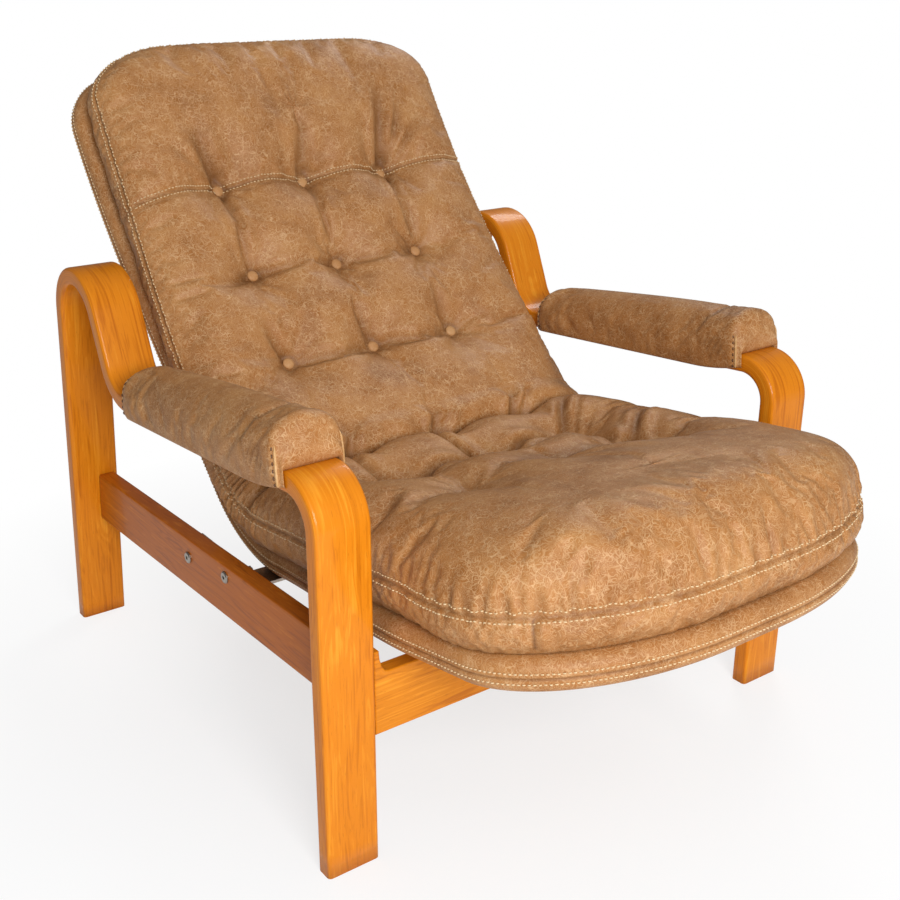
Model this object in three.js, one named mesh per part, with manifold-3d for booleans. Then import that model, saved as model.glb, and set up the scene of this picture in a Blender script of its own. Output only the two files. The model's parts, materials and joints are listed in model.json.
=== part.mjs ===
// Lounge chair with continuous bentwood side frames, a curved upholstered
// shell and a tufted leather cushion. Millimetres, +Z up, the chair faces -Y.
// Until the last lines y = 0 is the front face of the front legs and x = 0 is
// the middle plane. "left" is the +X side, the left hand of someone seated.
import * as THREE from 'three';
import { mergeVertices } from 'three/addons/utils/BufferGeometryUtils.js';
import Module from 'manifold-3d';

const wasm = await Module();
wasm.setup();

// Overall frame sizes
const FRAME_WIDTH = 760;          // outer face to outer face
const FIT_GAP = 0.3;              // seat clearance between touching pieces
const CUT_OVERRUN = 5;            // how far a drill runs past a face

// Bentwood side frame
const STRIP_WIDTH = 68;
const STRIP_THICKNESS = 24;
const STRIP_EDGE_ROUND = 5;
const ARM_TOP_HEIGHT = 479;       // highest point of the front bend
const FRONT_BEND_RADIUS = 46;     // radii are of the strip's middle line
const ARM_FALL_ANGLE = 4.9;       // degrees, the arm rail falls to the rear
const ARM_RUN = 428;
const RISE_BEND_RADIUS = 57;
const RISE_ANGLE = 67;            // degrees, the climb behind the arm pad
const RISE_RUN = 70;
const PEAK_RADIUS = 64.7;
const REAR_LEG_RAKE = 6.45;       // degrees, the rear leg leans forward

// Side rails and cross rails
const RAIL_THICKNESS = 26;
const RAIL_HEIGHT = 74;
const RAIL_INSET = 5;             // from the strip's inner face
const RAIL_FRONT_MID_HEIGHT = 238;
const RAIL_TILT = 2.5;            // degrees, the rear end is lower
const RAIL_EDGE_ROUND = 4;
const FRONT_RAIL_THICKNESS = 20;
const FRONT_RAIL_SETBACK = 2;
const FRONT_RAIL_HEIGHT = 77;     // at its dip
const FRONT_RAIL_EAR_HEIGHT = 28;
const FRONT_RAIL_EAR_WIDTH = 18;
const FRONT_RAIL_EAR_RADIUS = 12;
const FRONT_RAIL_EDGE_ROUND = 1.2;
const BACK_RAIL_THICKNESS = 30;
const BACK_RAIL_HEIGHT = 74;
const BACK_RAIL_SETBACK = 3;
const BACK_RAIL_BEVEL_RISE = 20;

// Dowels
const DOWEL_RADIUS = 5;
const DOWEL_LENGTH = 40;
const DOWEL_IN_LEG = 14;
const DOWEL_SPACING = 40;
const CROSS_DOWEL_RADIUS = 4;
const CROSS_DOWEL_LENGTH = 56;
const CROSS_DOWEL_MARGIN = 18;    // lower dowel above the rail's lower edge
const CROSS_DOWEL_SPACING = 18;
const CROSS_DOWEL_DROP = 7;       // upper front dowel below the side rail's middle
const DOWEL_END_PLAY = 1;
const DOWEL_EASE_SHARE = 0.15;

// Connector bolts and shell brackets
const BOLT_RADIUS = 3;
const BOLT_HEAD_RADIUS = 8;
const BOLT_HEAD_HEIGHT = 2.6;
const BOLT_SOCKET_RADIUS = 2.9;
const BOLT_SOCKET_DEPTH = 1.8;
const BOLT_REAR_Y = 404;
const BOLT_SPACING = 108;
const BOLT_ABOVE_RAIL_MID = 11;
const BOLT_FRONT_RISE = 16;
const NUT_RADIUS = 5.8;
const NUT_HEIGHT = 5;
const NUT_CHAMFER = 0.7;
const NUT_ABOVE_FLANGE = 1.5;
const BOLT_END_PAST_NUT = 2;
const BRACKET_THICKNESS = 4;
const BRACKET_END_MARGIN = 18;
const BRACKET_FLANGE = 70;
const BRACKET_TOP_MARGIN = 4;
const FRONT_RAIL_CLEARANCE = 22;  // dip below the shell's underside

// Screws into the shell
const SCREW_RADIUS = 2.2;
const SCREW_HEAD_RADIUS = 4.5;
const SCREW_HEAD_HEIGHT = 2.6;
const BRACKET_SCREW_LENGTH = 24;
const BRACKET_SCREW_SPACING = 22;
const BRACKET_SCREW_EDGE = 10;
const BACK_SCREW_LENGTH = 58;
const BACK_SCREW_SPREAD = 320;
const BACK_SCREW_DROP = 12;

// Seat shell, swept along its profile from the front rim to the head
const SHELL_FRONT_OVERHANG = 265;
const SEAT_FALL_ANGLE = 7.9;      // degrees, the seat falls to the rear
const SEAT_RUN = 555.5;
const HIP_RADIUS = 205;
const HIP_TURN = 52.9;            // degrees
const BACK_RADIUS = 2550;
const BACK_RUN = 642;
const SHELL_THICKNESS = 40;
const SHELL_RIM_ROUND = 16;
const FRONT_CORNER_DEPTH = 150;
const SHELL_FRONT_FLAT = 45;      // from the middle to the rounded corner, before the flare
const SHELL_HEAD_CORNER = 78;
const SHELL_FRONT_FLARE = -6;
const SHELL_WAIST = 18;           // narrower at the hip
const CORE_THICKNESS = 12;
const CORE_RIM_INSET = 20;
const CORE_POCKET_GAP = 0.4;
const RIM_SEAM_GAP = 0.5;
const RIM_ROUND_SHARE = 0.8;      // of the rim's rounding, at the front and head
const CORE_ROUND_SHARE = 0.25;

// One-piece cushion on the shell
const CUSHION_BAND_SEAT = 36;
const CUSHION_BAND_BACK = 50;
const CUSHION_FRONT_FLAT = 25;    // from the middle to the rounded corner, before the flare
const CUSHION_FRONT_CORNER = 225; // front corner, along
const CUSHION_FRONT_FLARE = 22;
const CUSHION_FLARE_STATION = 66;   // where the flare is at its widest
const CUSHION_HEAD_TAPER = 14;
const CUSHION_HEAD_REACH = 130;   // head corner, across
const CUSHION_HEAD_CORNER = 84;   // head corner, along
const CUSHION_SIDE_GAP = 2.7;      // to the arm pads
const CUSHION_BULGE = 6;          // how far the band swells past the rim
const CUSHION_DRAW_IN = 16;       // how far the lower edge is drawn in
const CUSHION_HEAD_OVERHANG = 12;
const CUSHION_FRONT_ROLL = 80;
const CUSHION_HEAD_ROLL = 62;
const CROWN_FRONT = 90;           // crown above the band seam
const CROWN_MID_SEAT = 82;
const CROWN_HIP = 64;
const CROWN_LUMBAR = 42;
const CROWN_BACK = 36;
const CROWN_HEAD = 38;
const CROWN_DIP_SHARE = 0.95;     // deepest a tuft may reach
const BAND_DIP_SHARE = 0.4;
const SIDE_SQUARENESS = 6;
const TUFT_SPREAD_BACK = 50;
const TUFT_SPREAD_SEAT = 58;
const TUFT_DEPTH_BACK = 38;
const TUFT_DEPTH_SEAT = 66;
const TUFT_DEPTH_FOLD = 24;
const DIMPLE_DEPTH_LEFT = 60;     // ahead of the seat row, sat in unevenly
const DIMPLE_DEPTH_CENTRE = 16;
const DIMPLE_DEPTH_RIGHT = 24;
const HIP_FOLD_SHARE = 0.25;      // of the hip bend, from the seat
const HIP_FOLD_DEPTH = 34;
const HIP_FOLD_SPREAD = 34;
const HEAD_SEAM_DEPTH = 8;
const HEAD_SEAM_SPREAD = 16;

// Covered buttons
const BUTTON_RADIUS = 9;
const BUTTON_HEIGHT = 5;
const BUTTON_EYE_RADIUS = 2.5;
const BUTTON_EYE_HEIGHT = 2.5;
const BUTTON_COLUMN_SPACING = 140;
const BACK_ROW_SPACING = 146;
const HEAD_ROW_FROM_TOP = 231;    // upper button row below the cushion's head
const DIMPLE_ROW = 317;           // from the front rim along the shell
const SEAT_ROW = 447;
const FOLD_ROW_AHEAD = 10;        // of the fold between seat and back
const SEAT_CROWN_STATION = 335;

// Arm pads
const PAD_WALL = 8;
const PAD_START = 18;             // from the end of the front bend
const PAD_FRONT_RISE = 52;        // top above the strip
const PAD_REAR_RISE = 31;
const PAD_TOP_ROUND = 26;
const PAD_END_ROUND = 15;
const PAD_FRONT_LIFT = 9;         // lower edge rises towards the front slit
const PAD_LIFT_RUN = 80;
const PAD_CROWN = 4;
const PAD_END_DROP_SHARE = 0.35;
const FLAP_THICKNESS = 2;

const degrees = THREE.MathUtils.degToRad;
const half = (value) => value / 2;

// Materials
const finish = (color, roughness, metalness) =>
  new THREE.MeshStandardMaterial({ color, roughness, metalness });
const beech = () => finish(0xc77a2b, 0.3, 0);
const railBeech = () => finish(0xb4652a, 0.34, 0);
const dowelBeech = () => finish(0xdcb98a, 0.7, 0);
const steel = () => finish(0x8c8b88, 0.35, 1);
const leather = () => finish(0x99714a, 0.55, 0);
const plywood = () => finish(0xcaa878, 0.7, 0);

const chair = new THREE.Group();
function place(name, geometry, material) {
  const mesh = new THREE.Mesh(geometry, material);
  mesh.name = name;
  chair.add(mesh);
  return mesh;
}

// Solids
function toSolid(geometry) {
  const bare = geometry.clone();
  bare.deleteAttribute('normal');
  bare.deleteAttribute('uv');
  const merged = mergeVertices(bare);
  return new wasm.Manifold(new wasm.Mesh({
    numProp: 3,
    vertProperties: new Float32Array(merged.attributes.position.array),
    triVerts: new Uint32Array(merged.index.array),
  }));
}

function toGeometry(solid) {
  const mesh = solid.getMesh();
  const geometry = new THREE.BufferGeometry();
  geometry.setAttribute('position', new THREE.BufferAttribute(mesh.vertProperties, 3));
  geometry.setIndex(new THREE.BufferAttribute(mesh.triVerts, 1));
  geometry.computeVertexNormals();
  return geometry;
}

function cut(geometry, tools) {
  let solid = toSolid(geometry);
  for (const tool of tools) {
    solid = solid.subtract(toSolid(tool));
  }
  return toGeometry(solid);
}

// A rod from one point along a direction.
function rod(start, direction, length, radius, sides = 16) {
  const geometry = new THREE.CylinderGeometry(radius, radius, length, sides);
  const axis = direction.clone().normalize();
  geometry.applyQuaternion(new THREE.Quaternion().setFromUnitVectors(
    new THREE.Vector3(0, 1, 0), axis));
  const middle = start.clone().addScaledVector(axis, half(length));
  geometry.translate(middle.x, middle.y, middle.z);
  return geometry;
}

// A lathe body whose profile runs along a direction from one point.
function turned(profile, start, direction, sides = 16) {
  const points = profile.map(([radius, along]) => new THREE.Vector2(radius, along));
  const geometry = new THREE.LatheGeometry(points, sides);
  geometry.applyQuaternion(new THREE.Quaternion().setFromUnitVectors(
    new THREE.Vector3(0, 1, 0), direction.clone().normalize()));
  geometry.translate(start.x, start.y, start.z);
  return geometry;
}

// A board whose outline lies in the side plane, with y across and z up. It is
// centred on x and its long edges are rounded.
function board(outline, width, round, centreX, steps = 2) {
  const shape = new THREE.Shape(outline.map(([y, z]) => new THREE.Vector2(y, z)));
  const geometry = new THREE.ExtrudeGeometry(shape, {
    depth: width - 2 * round,
    bevelEnabled: true,
    bevelThickness: round,
    bevelSize: round,
    bevelOffset: -round,
    bevelSegments: steps,
    steps: 1,
    curveSegments: 1,
  });
  geometry.translate(0, 0, round - half(width));
  geometry.applyMatrix4(new THREE.Matrix4().makeBasis(
    new THREE.Vector3(0, 1, 0), new THREE.Vector3(0, 0, 1), new THREE.Vector3(1, 0, 0)));
  geometry.translate(centreX, 0, 0);
  return geometry;
}

// The strip's middle line, walked from the front foot to the rear foot
function walkStrip() {
  const samples = [];
  let y = half(STRIP_THICKNESS);
  let z = 0;
  let heading = degrees(90);
  const mark = () => samples.push({ y, z, heading });
  const straight = (run) => {
    y += run * Math.cos(heading);
    z += run * Math.sin(heading);
    mark();
  };
  const bend = (radius, turn, pieces) => {
    const side = Math.sign(turn);
    const centreY = y - side * radius * Math.sin(heading);
    const centreZ = z + side * radius * Math.cos(heading);
    for (let i = 0; i < pieces; i += 1) {
      heading += turn / pieces;
      y = centreY + side * radius * Math.sin(heading);
      z = centreZ - side * radius * Math.cos(heading);
      mark();
    }
  };
  mark();
  straight(ARM_TOP_HEIGHT - FRONT_BEND_RADIUS - half(STRIP_THICKNESS));
  bend(FRONT_BEND_RADIUS, -degrees(90 + ARM_FALL_ANGLE), 10);
  const armStart = { y, z, heading };
  straight(ARM_RUN);
  bend(RISE_BEND_RADIUS, degrees(ARM_FALL_ANGLE + RISE_ANGLE), 8);
  straight(RISE_RUN);
  bend(PEAK_RADIUS, -degrees(180 + RISE_ANGLE - 90 - REAR_LEG_RAKE), 14);
  const legTop = { y, z, heading };
  straight(z / Math.cos(degrees(REAR_LEG_RAKE)));
  return { samples, armStart, legTop };
}

const strip = walkStrip();
const RAKE_SLOPE = Math.tan(degrees(REAR_LEG_RAKE));

// y of a plane along the rear leg, offset from its middle line.
function rearLegY(z, offset) {
  const level = offset / Math.cos(degrees(REAR_LEG_RAKE));
  return strip.legTop.y + (strip.legTop.z - z) * RAKE_SLOPE + level;
}

function stripOutline() {
  const reach = half(STRIP_THICKNESS);
  const outer = [];
  const inner = [];
  const last = strip.samples.length - 1;
  strip.samples.forEach(({ y, z, heading }, index) => {
    if (index === last) {
      outer.push([rearLegY(0, reach), 0]);
      inner.push([rearLegY(0, -reach), 0]);
      return;
    }
    outer.push([y - reach * Math.sin(heading), z + reach * Math.cos(heading)]);
    inner.push([y + reach * Math.sin(heading), z - reach * Math.cos(heading)]);
  });
  return outer.reverse().concat(inner);
}

// Side frames and rails: faces that other pieces line up with
const frameCentreX = half(FRAME_WIDTH - STRIP_WIDTH);
const innerFaceX = half(FRAME_WIDTH) - STRIP_WIDTH;
const railCentreX = innerFaceX + RAIL_INSET + half(RAIL_THICKNESS);
const railTilt = degrees(RAIL_TILT);
const legBack = STRIP_THICKNESS;
const legFront = -half(STRIP_THICKNESS);

const railMidZ = (y) => RAIL_FRONT_MID_HEIGHT - (y - legBack) * Math.tan(railTilt);

// Faces of the rails and of the steel brackets that carry the shell.
const railInnerX = innerFaceX + RAIL_INSET;
const railOuterX = railInnerX + RAIL_THICKNESS;
const flangeOuterX = railInnerX - FIT_GAP;
const flangeInnerX = flangeOuterX - BRACKET_THICKNESS;
const boltRearZ = railMidZ(BOLT_REAR_Y) + BOLT_ABOVE_RAIL_MID;
const boltPlaces = [
  ['rear', BOLT_REAR_Y, boltRearZ],
  ['front', BOLT_REAR_Y - BOLT_SPACING, boltRearZ + BOLT_FRONT_RISE],
];
const bracketTop = boltRearZ - NUT_RADIUS - NUT_ABOVE_FLANGE;

// The shell's profile
const hipTurn = degrees(HIP_TURN);
const seatFall = degrees(SEAT_FALL_ANGLE);
const shellHalfWidth = innerFaceX - FIT_GAP - PAD_WALL - CUSHION_SIDE_GAP - CUSHION_BULGE;
const seatDrop = SEAT_RUN * Math.sin(seatFall) + HIP_RADIUS * (1 - Math.cos(seatFall));
const frontHeight = bracketTop + FIT_GAP + seatDrop;
const shellLength = SEAT_RUN + HIP_RADIUS * hipTurn + BACK_RUN;

const HIP_PIECES = 6;
const hipStart = SEAT_RUN;
const hipEnd = SEAT_RUN + HIP_RADIUS * hipTurn;
const hipFold = hipStart + HIP_FOLD_SHARE * (hipEnd - hipStart);

// Button rows and the last station before the head corners.
const cushionLength = shellLength + CUSHION_HEAD_OVERHANG;
const headRow = cushionLength - HEAD_ROW_FROM_TOP;
const middleRow = headRow - BACK_ROW_SPACING;
const lumbarRow = middleRow - BACK_ROW_SPACING;
const headCornerStart = shellLength - SHELL_HEAD_CORNER - CORE_RIM_INSET - CUT_OVERRUN;

// Point and tangent angle of the shell's underside, s along from the front.
function profileAt(s) {
  const fall = -seatFall;
  const flat = Math.min(s, SEAT_RUN);
  let y = -SHELL_FRONT_OVERHANG + flat * Math.cos(fall);
  let z = frontHeight + flat * Math.sin(fall);
  let angle = fall;
  const sweep = (radius, turn) => {
    y += radius * (Math.sin(angle + turn) - Math.sin(angle));
    z -= radius * (Math.cos(angle + turn) - Math.cos(angle));
    angle += turn;
  };
  const hip = Math.min(Math.max(s - SEAT_RUN, 0) / HIP_RADIUS, hipTurn);
  sweep(HIP_RADIUS, hip);
  const back = Math.max(s - SEAT_RUN - HIP_RADIUS * hipTurn, 0);
  sweep(BACK_RADIUS, back / BACK_RADIUS);
  return { y, z, angle };
}

// A point at s along, n out of the underside towards the sitter.
function onProfile(x, s, n) {
  const { y, z, angle } = profileAt(s);
  return new THREE.Vector3(x, y - n * Math.sin(angle), z + n * Math.cos(angle));
}

function outOfProfile(s) {
  const { angle } = profileAt(s);
  return new THREE.Vector3(0, -Math.sin(angle), Math.cos(angle));
}

// Smooth step between named values at named stations.
function easedBetween(knots, s) {
  for (let i = 1; i < knots.length; i += 1) {
    const [from, low] = knots[i - 1];
    const [to, high] = knots[i];
    if (s <= to) {
      const t = Math.max(s - from, 0) / (to - from);
      return low + (high - low) * t * t * (3 - 2 * t);
    }
  }
  return knots[knots.length - 1][1];
}

// Narrowing of a rounded corner at a distance from the end of the outline.
function cornerAt(distance, depth, reach) {
  const rest = 1 - Math.min(Math.max(distance, 0) / depth, 1);
  return reach * (1 - Math.sqrt(1 - rest * rest));
}

// Half width of the shell at s, set in from its outline by inset.
function shellWidthAt(s, inset) {
  const knots = [[half(SHELL_FRONT_OVERHANG), SHELL_FRONT_FLARE],
    [SHELL_FRONT_OVERHANG, 0], [hipStart, -SHELL_WAIST], [hipEnd, -SHELL_WAIST],
    [shellLength - SHELL_HEAD_CORNER, 0]];
  return shellHalfWidth + easedBetween(knots, s) - inset
    - cornerAt(s - inset, FRONT_CORNER_DEPTH, shellHalfWidth - SHELL_FRONT_FLAT)
    - cornerAt(shellLength - inset - s, SHELL_HEAD_CORNER, SHELL_HEAD_CORNER);
}

// Half width of the cushion's seam at s.
function cushionWidthAt(s) {
  const knots = [[CUSHION_FLARE_STATION, CUSHION_FRONT_FLARE],
    [SHELL_FRONT_OVERHANG - STRIP_THICKNESS, 0], [hipEnd, 0],
    [cushionLength - CUSHION_HEAD_CORNER, -CUSHION_HEAD_TAPER]];
  return shellHalfWidth + easedBetween(knots, s)
    - cornerAt(s, CUSHION_FRONT_CORNER, shellHalfWidth - CUSHION_FRONT_FLAT)
    - cornerAt(cushionLength - s, CUSHION_HEAD_CORNER, CUSHION_HEAD_REACH);
}

// A closed body from rings of equal length, with flat ends.
function loft(rings) {
  const size = rings[0].length;
  const positions = [];
  rings.forEach((ring) => ring.forEach((point) => positions.push(point.x, point.y, point.z)));
  const index = [];
  for (let r = 0; r + 1 < rings.length; r += 1) {
    for (let i = 0; i < size; i += 1) {
      const j = (i + 1) % size;
      const a = r * size + i;
      const b = r * size + j;
      const c = (r + 1) * size + i;
      const d = (r + 1) * size + j;
      index.push(a, d, b, a, c, d);
    }
  }
  const capFlat = (ring) => ring.map((point) => new THREE.Vector2(point.u, point.v));
  const first = THREE.ShapeUtils.triangulateShape(capFlat(rings[0]), []);
  first.forEach(([a, b, c]) => index.push(a, b, c));
  const base = (rings.length - 1) * size;
  const end = THREE.ShapeUtils.triangulateShape(capFlat(rings[rings.length - 1]), []);
  end.forEach(([a, b, c]) => index.push(base + c, base + b, base + a));
  const geometry = new THREE.BufferGeometry();
  geometry.setAttribute('position', new THREE.Float32BufferAttribute(positions, 3));
  geometry.setIndex(index);
  geometry.computeVertexNormals();
  return geometry;
}

// Ring of flat points (x across, n out) carried to station s of the profile.
function ringAt(flat, s) {
  return flat.map(([x, n]) => {
    const point = onProfile(x, s, n);
    point.u = x;
    point.v = n;
    return point;
  });
}

// Rounded slab section between two heights, listed counter-clockwise.
function slabSection(halfWidth, low, high, round, pieces) {
  const flat = [];
  const corner = (x, n, from) => {
    for (let i = 0; i <= pieces; i += 1) {
      const turn = from + (degrees(90) * i) / pieces;
      flat.push([x + round * Math.cos(turn), n + round * Math.sin(turn)]);
    }
  };
  corner(halfWidth - round, low + round, degrees(-90));
  corner(halfWidth - round, high - round, 0);
  corner(round - halfWidth, high - round, degrees(90));
  corner(round - halfWidth, low + round, degrees(180));
  return flat;
}

// Stations along the profile: close together at the corners and the hip.
const STATION_FRONT_SHARES = [0, 0.02, 0.07, 0.16, 0.3, 0.5, 0.75, 1];
const STATION_HEAD_SHARES = [1, 0.7, 0.45, 0.25, 0.12, 0.04, 0];

// Even steps from one station to another, the first one left out.
function steps(from, to, pieces) {
  const list = [];
  for (let i = 1; i <= pieces; i += 1) {
    list.push(from + ((to - from) * i) / pieces);
  }
  return list;
}

// Every slab and the cushion share these stations in the curved part, so
// their facets lie against each other.
function curvedStations(pieces) {
  return [hipStart, ...steps(hipStart, hipEnd, HIP_PIECES),
    ...steps(hipEnd, lumbarRow, 3), ...steps(lumbarRow, middleRow, pieces),
    ...steps(middleRow, headRow, pieces), ...steps(headRow, headCornerStart, 2)];
}

function slabStations() {
  const front = STATION_FRONT_SHARES.map((share) => share * FRONT_CORNER_DEPTH);
  const head = STATION_HEAD_SHARES.map((share) => shellLength - share * SHELL_HEAD_CORNER);
  return [...front, half(front[front.length - 1] + hipStart),
    ...curvedStations(2), ...head];
}

// Shell pieces: a moulded core in a pocket between two upholstered halves
const coreLow = half(SHELL_THICKNESS - CORE_THICKNESS);
const coreHigh = coreLow + CORE_THICKNESS;

function screwHole(start, direction, length) {
  const lead = start.clone().addScaledVector(direction, -CUT_OVERRUN);
  return rod(lead, direction, length + CUT_OVERRUN, SCREW_RADIUS + FIT_GAP, 12);
}

// Stations of the shell inside the core's rim, where pocket and core agree.
const pocketInset = CORE_RIM_INSET - CORE_POCKET_GAP;
const withinCore = (s) => s > CORE_RIM_INSET + CUT_OVERRUN
  && s < shellLength - CORE_RIM_INSET - CUT_OVERRUN;

// How much of the rim's rounding is left at a distance from the shell's end.
function rimDropAt(distance) {
  const rest = Math.max(SHELL_RIM_ROUND - distance, 0);
  return RIM_ROUND_SHARE
    * (SHELL_RIM_ROUND - Math.sqrt(SHELL_RIM_ROUND ** 2 - rest ** 2));
}

function shellStations() {
  const outer = slabStations().filter((s) => withinCore(s)
    || s < pocketInset - CUT_OVERRUN || s > shellLength - pocketInset + CUT_OVERRUN);
  const wall = CORE_POCKET_GAP;
  outer.push(pocketInset - wall, pocketInset,
    shellLength - pocketInset, shellLength - pocketInset + wall);
  return outer.sort((one, other) => one - other);
}

// One upholstered half: a tray around half of the core, seamed at the rim.
function shellHalf(isBack) {
  const seam = half(SHELL_THICKNESS) + (isBack ? -1 : 1) * half(RIM_SEAM_GAP);
  const floor = isBack ? coreLow - CORE_POCKET_GAP : coreHigh + CORE_POCKET_GAP;
  return loft(shellStations().map((s) => {
    const width = shellWidthAt(s, 0);
    const pocket = shellWidthAt(s, pocketInset);
    const held = s >= pocketInset && s <= shellLength - pocketInset;
    const depth = held ? floor : seam + (isBack ? -1 : 1) * CORE_POCKET_GAP;
    const low = rimDropAt(Math.min(s, shellLength - s));
    const round = SHELL_RIM_ROUND - low;
    const outer = slabSection(width, low, SHELL_THICKNESS - low, round, 3);
    const quarter = half(half(outer.length));
    const flat = isBack
      ? [...outer.slice(0, quarter), [width, seam], [pocket, seam], [pocket, depth],
        [-pocket, depth], [-pocket, seam], [-width, seam], ...outer.slice(3 * quarter)]
      : [[width, seam], ...outer.slice(quarter, 3 * quarter), [-width, seam],
        [-pocket, seam], [-pocket, depth], [pocket, depth], [pocket, seam]];
    return ringAt(flat, s);
  }));
}

function coreGeometry() {
  const stations = [CORE_RIM_INSET, ...slabStations().filter(withinCore),
    shellLength - CORE_RIM_INSET];
  const round = CORE_ROUND_SHARE * CORE_THICKNESS;
  return loft(stations.map((s) => {
    const width = shellWidthAt(s, CORE_RIM_INSET);
    return ringAt(slabSection(width, coreLow, coreHigh, round, 1), s);
  }));
}

function shellPieces(drills) {
  place('shell_core', cut(coreGeometry(), drills), plywood());
  place('shell_back_upholstery', cut(shellHalf(true), drills), leather());
  place('shell_front_upholstery', shellHalf(false), leather());
}

// Where a line parallel to the rail meets the rear leg's front face.
function railRear(rise, gap) {
  const start = railMidZ(legBack) + rise;
  const slope = Math.tan(railTilt);
  const reachAtZero = rearLegY(0, legFront) - gap;
  const y = (reachAtZero - RAKE_SLOPE * (start + slope * legBack))
    / (1 - RAKE_SLOPE * slope);
  return [y, start - slope * (y - legBack)];
}

function sideRailOutline() {
  const rise = half(RAIL_HEIGHT) / Math.cos(railTilt);
  const front = legBack + FIT_GAP;
  return [
    [front, railMidZ(front) - rise],
    railRear(-rise, FIT_GAP),
    railRear(rise, FIT_GAP),
    [front, railMidZ(front) + rise],
  ];
}

// Dowels of one side rail: start point in the leg and direction out of it.
function sideDowels(side) {
  const x = side * railCentreX;
  const list = [];
  const rake = degrees(REAR_LEG_RAKE);
  for (const [label, rise] of [['lower', -half(DOWEL_SPACING)], ['upper', half(DOWEL_SPACING)]]) {
    list.push({
      name: `rail_dowel_front_${label}`,
      start: new THREE.Vector3(x, legBack - DOWEL_IN_LEG, railMidZ(legBack) + rise),
      direction: new THREE.Vector3(0, 1, 0),
    });
    const [y, z] = railRear(rise, 0);
    const direction = new THREE.Vector3(0, -Math.cos(rake), -Math.sin(rake));
    list.push({
      name: `rail_dowel_rear_${label}`,
      start: new THREE.Vector3(x, y, z).addScaledVector(direction, -DOWEL_IN_LEG),
      direction,
    });
  }
  return list;
}

function dowel(start, direction, length, radius) {
  const ease = DOWEL_EASE_SHARE * radius;
  return turned([[0, 0], [radius - ease, 0], [radius, ease], [radius, length - ease],
    [radius - ease, length], [0, length]], start, direction, 12);
}

function dowelHole(start, direction, length, radius) {
  const lead = start.clone().addScaledVector(direction, -DOWEL_END_PLAY);
  return rod(lead, direction, length + 2 * DOWEL_END_PLAY, radius + FIT_GAP, 12);
}

// Cross rails
const frontRailBack = FRONT_RAIL_SETBACK + FRONT_RAIL_THICKNESS;
const crossHalf = innerFaceX - FIT_GAP;

// Height of the shell's underside above a place on the seat part.
function undersideZ(y) {
  return frontHeight - (y + SHELL_FRONT_OVERHANG) * Math.tan(seatFall);
}

const frontRailDip = undersideZ(frontRailBack) - FRONT_RAIL_CLEARANCE;
const frontRailFoot = frontRailDip - FRONT_RAIL_HEIGHT;

function frontRail(drills) {
  const ear = crossHalf - FRONT_RAIL_EAR_WIDTH;
  const top = frontRailDip + FRONT_RAIL_EAR_HEIGHT;
  const right = [[crossHalf, frontRailFoot], [crossHalf, top]];
  const pieces = 4;
  right.push([ear + FRONT_RAIL_EAR_RADIUS, top]);
  for (let i = 1; i <= pieces; i += 1) {
    const turn = (degrees(90) * i) / pieces;
    right.push([ear + FRONT_RAIL_EAR_RADIUS * Math.cos(turn),
      top - FRONT_RAIL_EAR_HEIGHT + (FRONT_RAIL_EAR_HEIGHT * (1 - Math.sin(turn)))]);
  }
  const outline = right.concat(right.slice().reverse().map(([x, z]) => [-x, z]));
  const shape = new THREE.Shape(outline.map(([x, z]) => new THREE.Vector2(x, z)));
  const round = FRONT_RAIL_EDGE_ROUND;
  const geometry = new THREE.ExtrudeGeometry(shape, {
    depth: FRONT_RAIL_THICKNESS - 2 * round,
    bevelEnabled: true,
    bevelThickness: round,
    bevelSize: round,
    bevelOffset: -round,
    bevelSegments: 1,
    steps: 1,
  });
  geometry.rotateX(degrees(90));
  geometry.translate(0, frontRailBack - round, 0);
  place('front_cross_rail', cut(geometry, drills), railBeech());
}

// Height where the shell's back meets a plane along the rear leg.
function shellMeetsLegPlane(offset) {
  let low = SEAT_RUN + HIP_RADIUS * hipTurn;
  let high = shellLength;
  for (let i = 0; i < 40; i += 1) {
    const middle = half(low + high);
    const { y, z } = profileAt(middle);
    if (y < rearLegY(z, offset)) {
      low = middle;
    } else {
      high = middle;
    }
  }
  return low;
}

const backRailRear = half(STRIP_THICKNESS) - BACK_RAIL_SETBACK;
const backRailFront = backRailRear - BACK_RAIL_THICKNESS;
const backRailContact = shellMeetsLegPlane(backRailFront);

// Section of the back rail: raked like the leg, bevelled to the shell's back.
function backRailOutline() {
  const contact = profileAt(backRailContact);
  const away = outOfProfile(backRailContact).multiplyScalar(-FIT_GAP);
  const foot = contact.z - (BACK_RAIL_HEIGHT - BACK_RAIL_BEVEL_RISE);
  const top = contact.z + BACK_RAIL_BEVEL_RISE;
  const run = BACK_RAIL_BEVEL_RISE / Math.tan(contact.angle);
  return [
    [rearLegY(foot, backRailFront), foot],
    [rearLegY(foot, backRailRear), foot],
    [rearLegY(top, backRailRear), top],
    [contact.y + away.y + run, top],
    [contact.y + away.y, contact.z + away.z],
  ];
}

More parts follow.
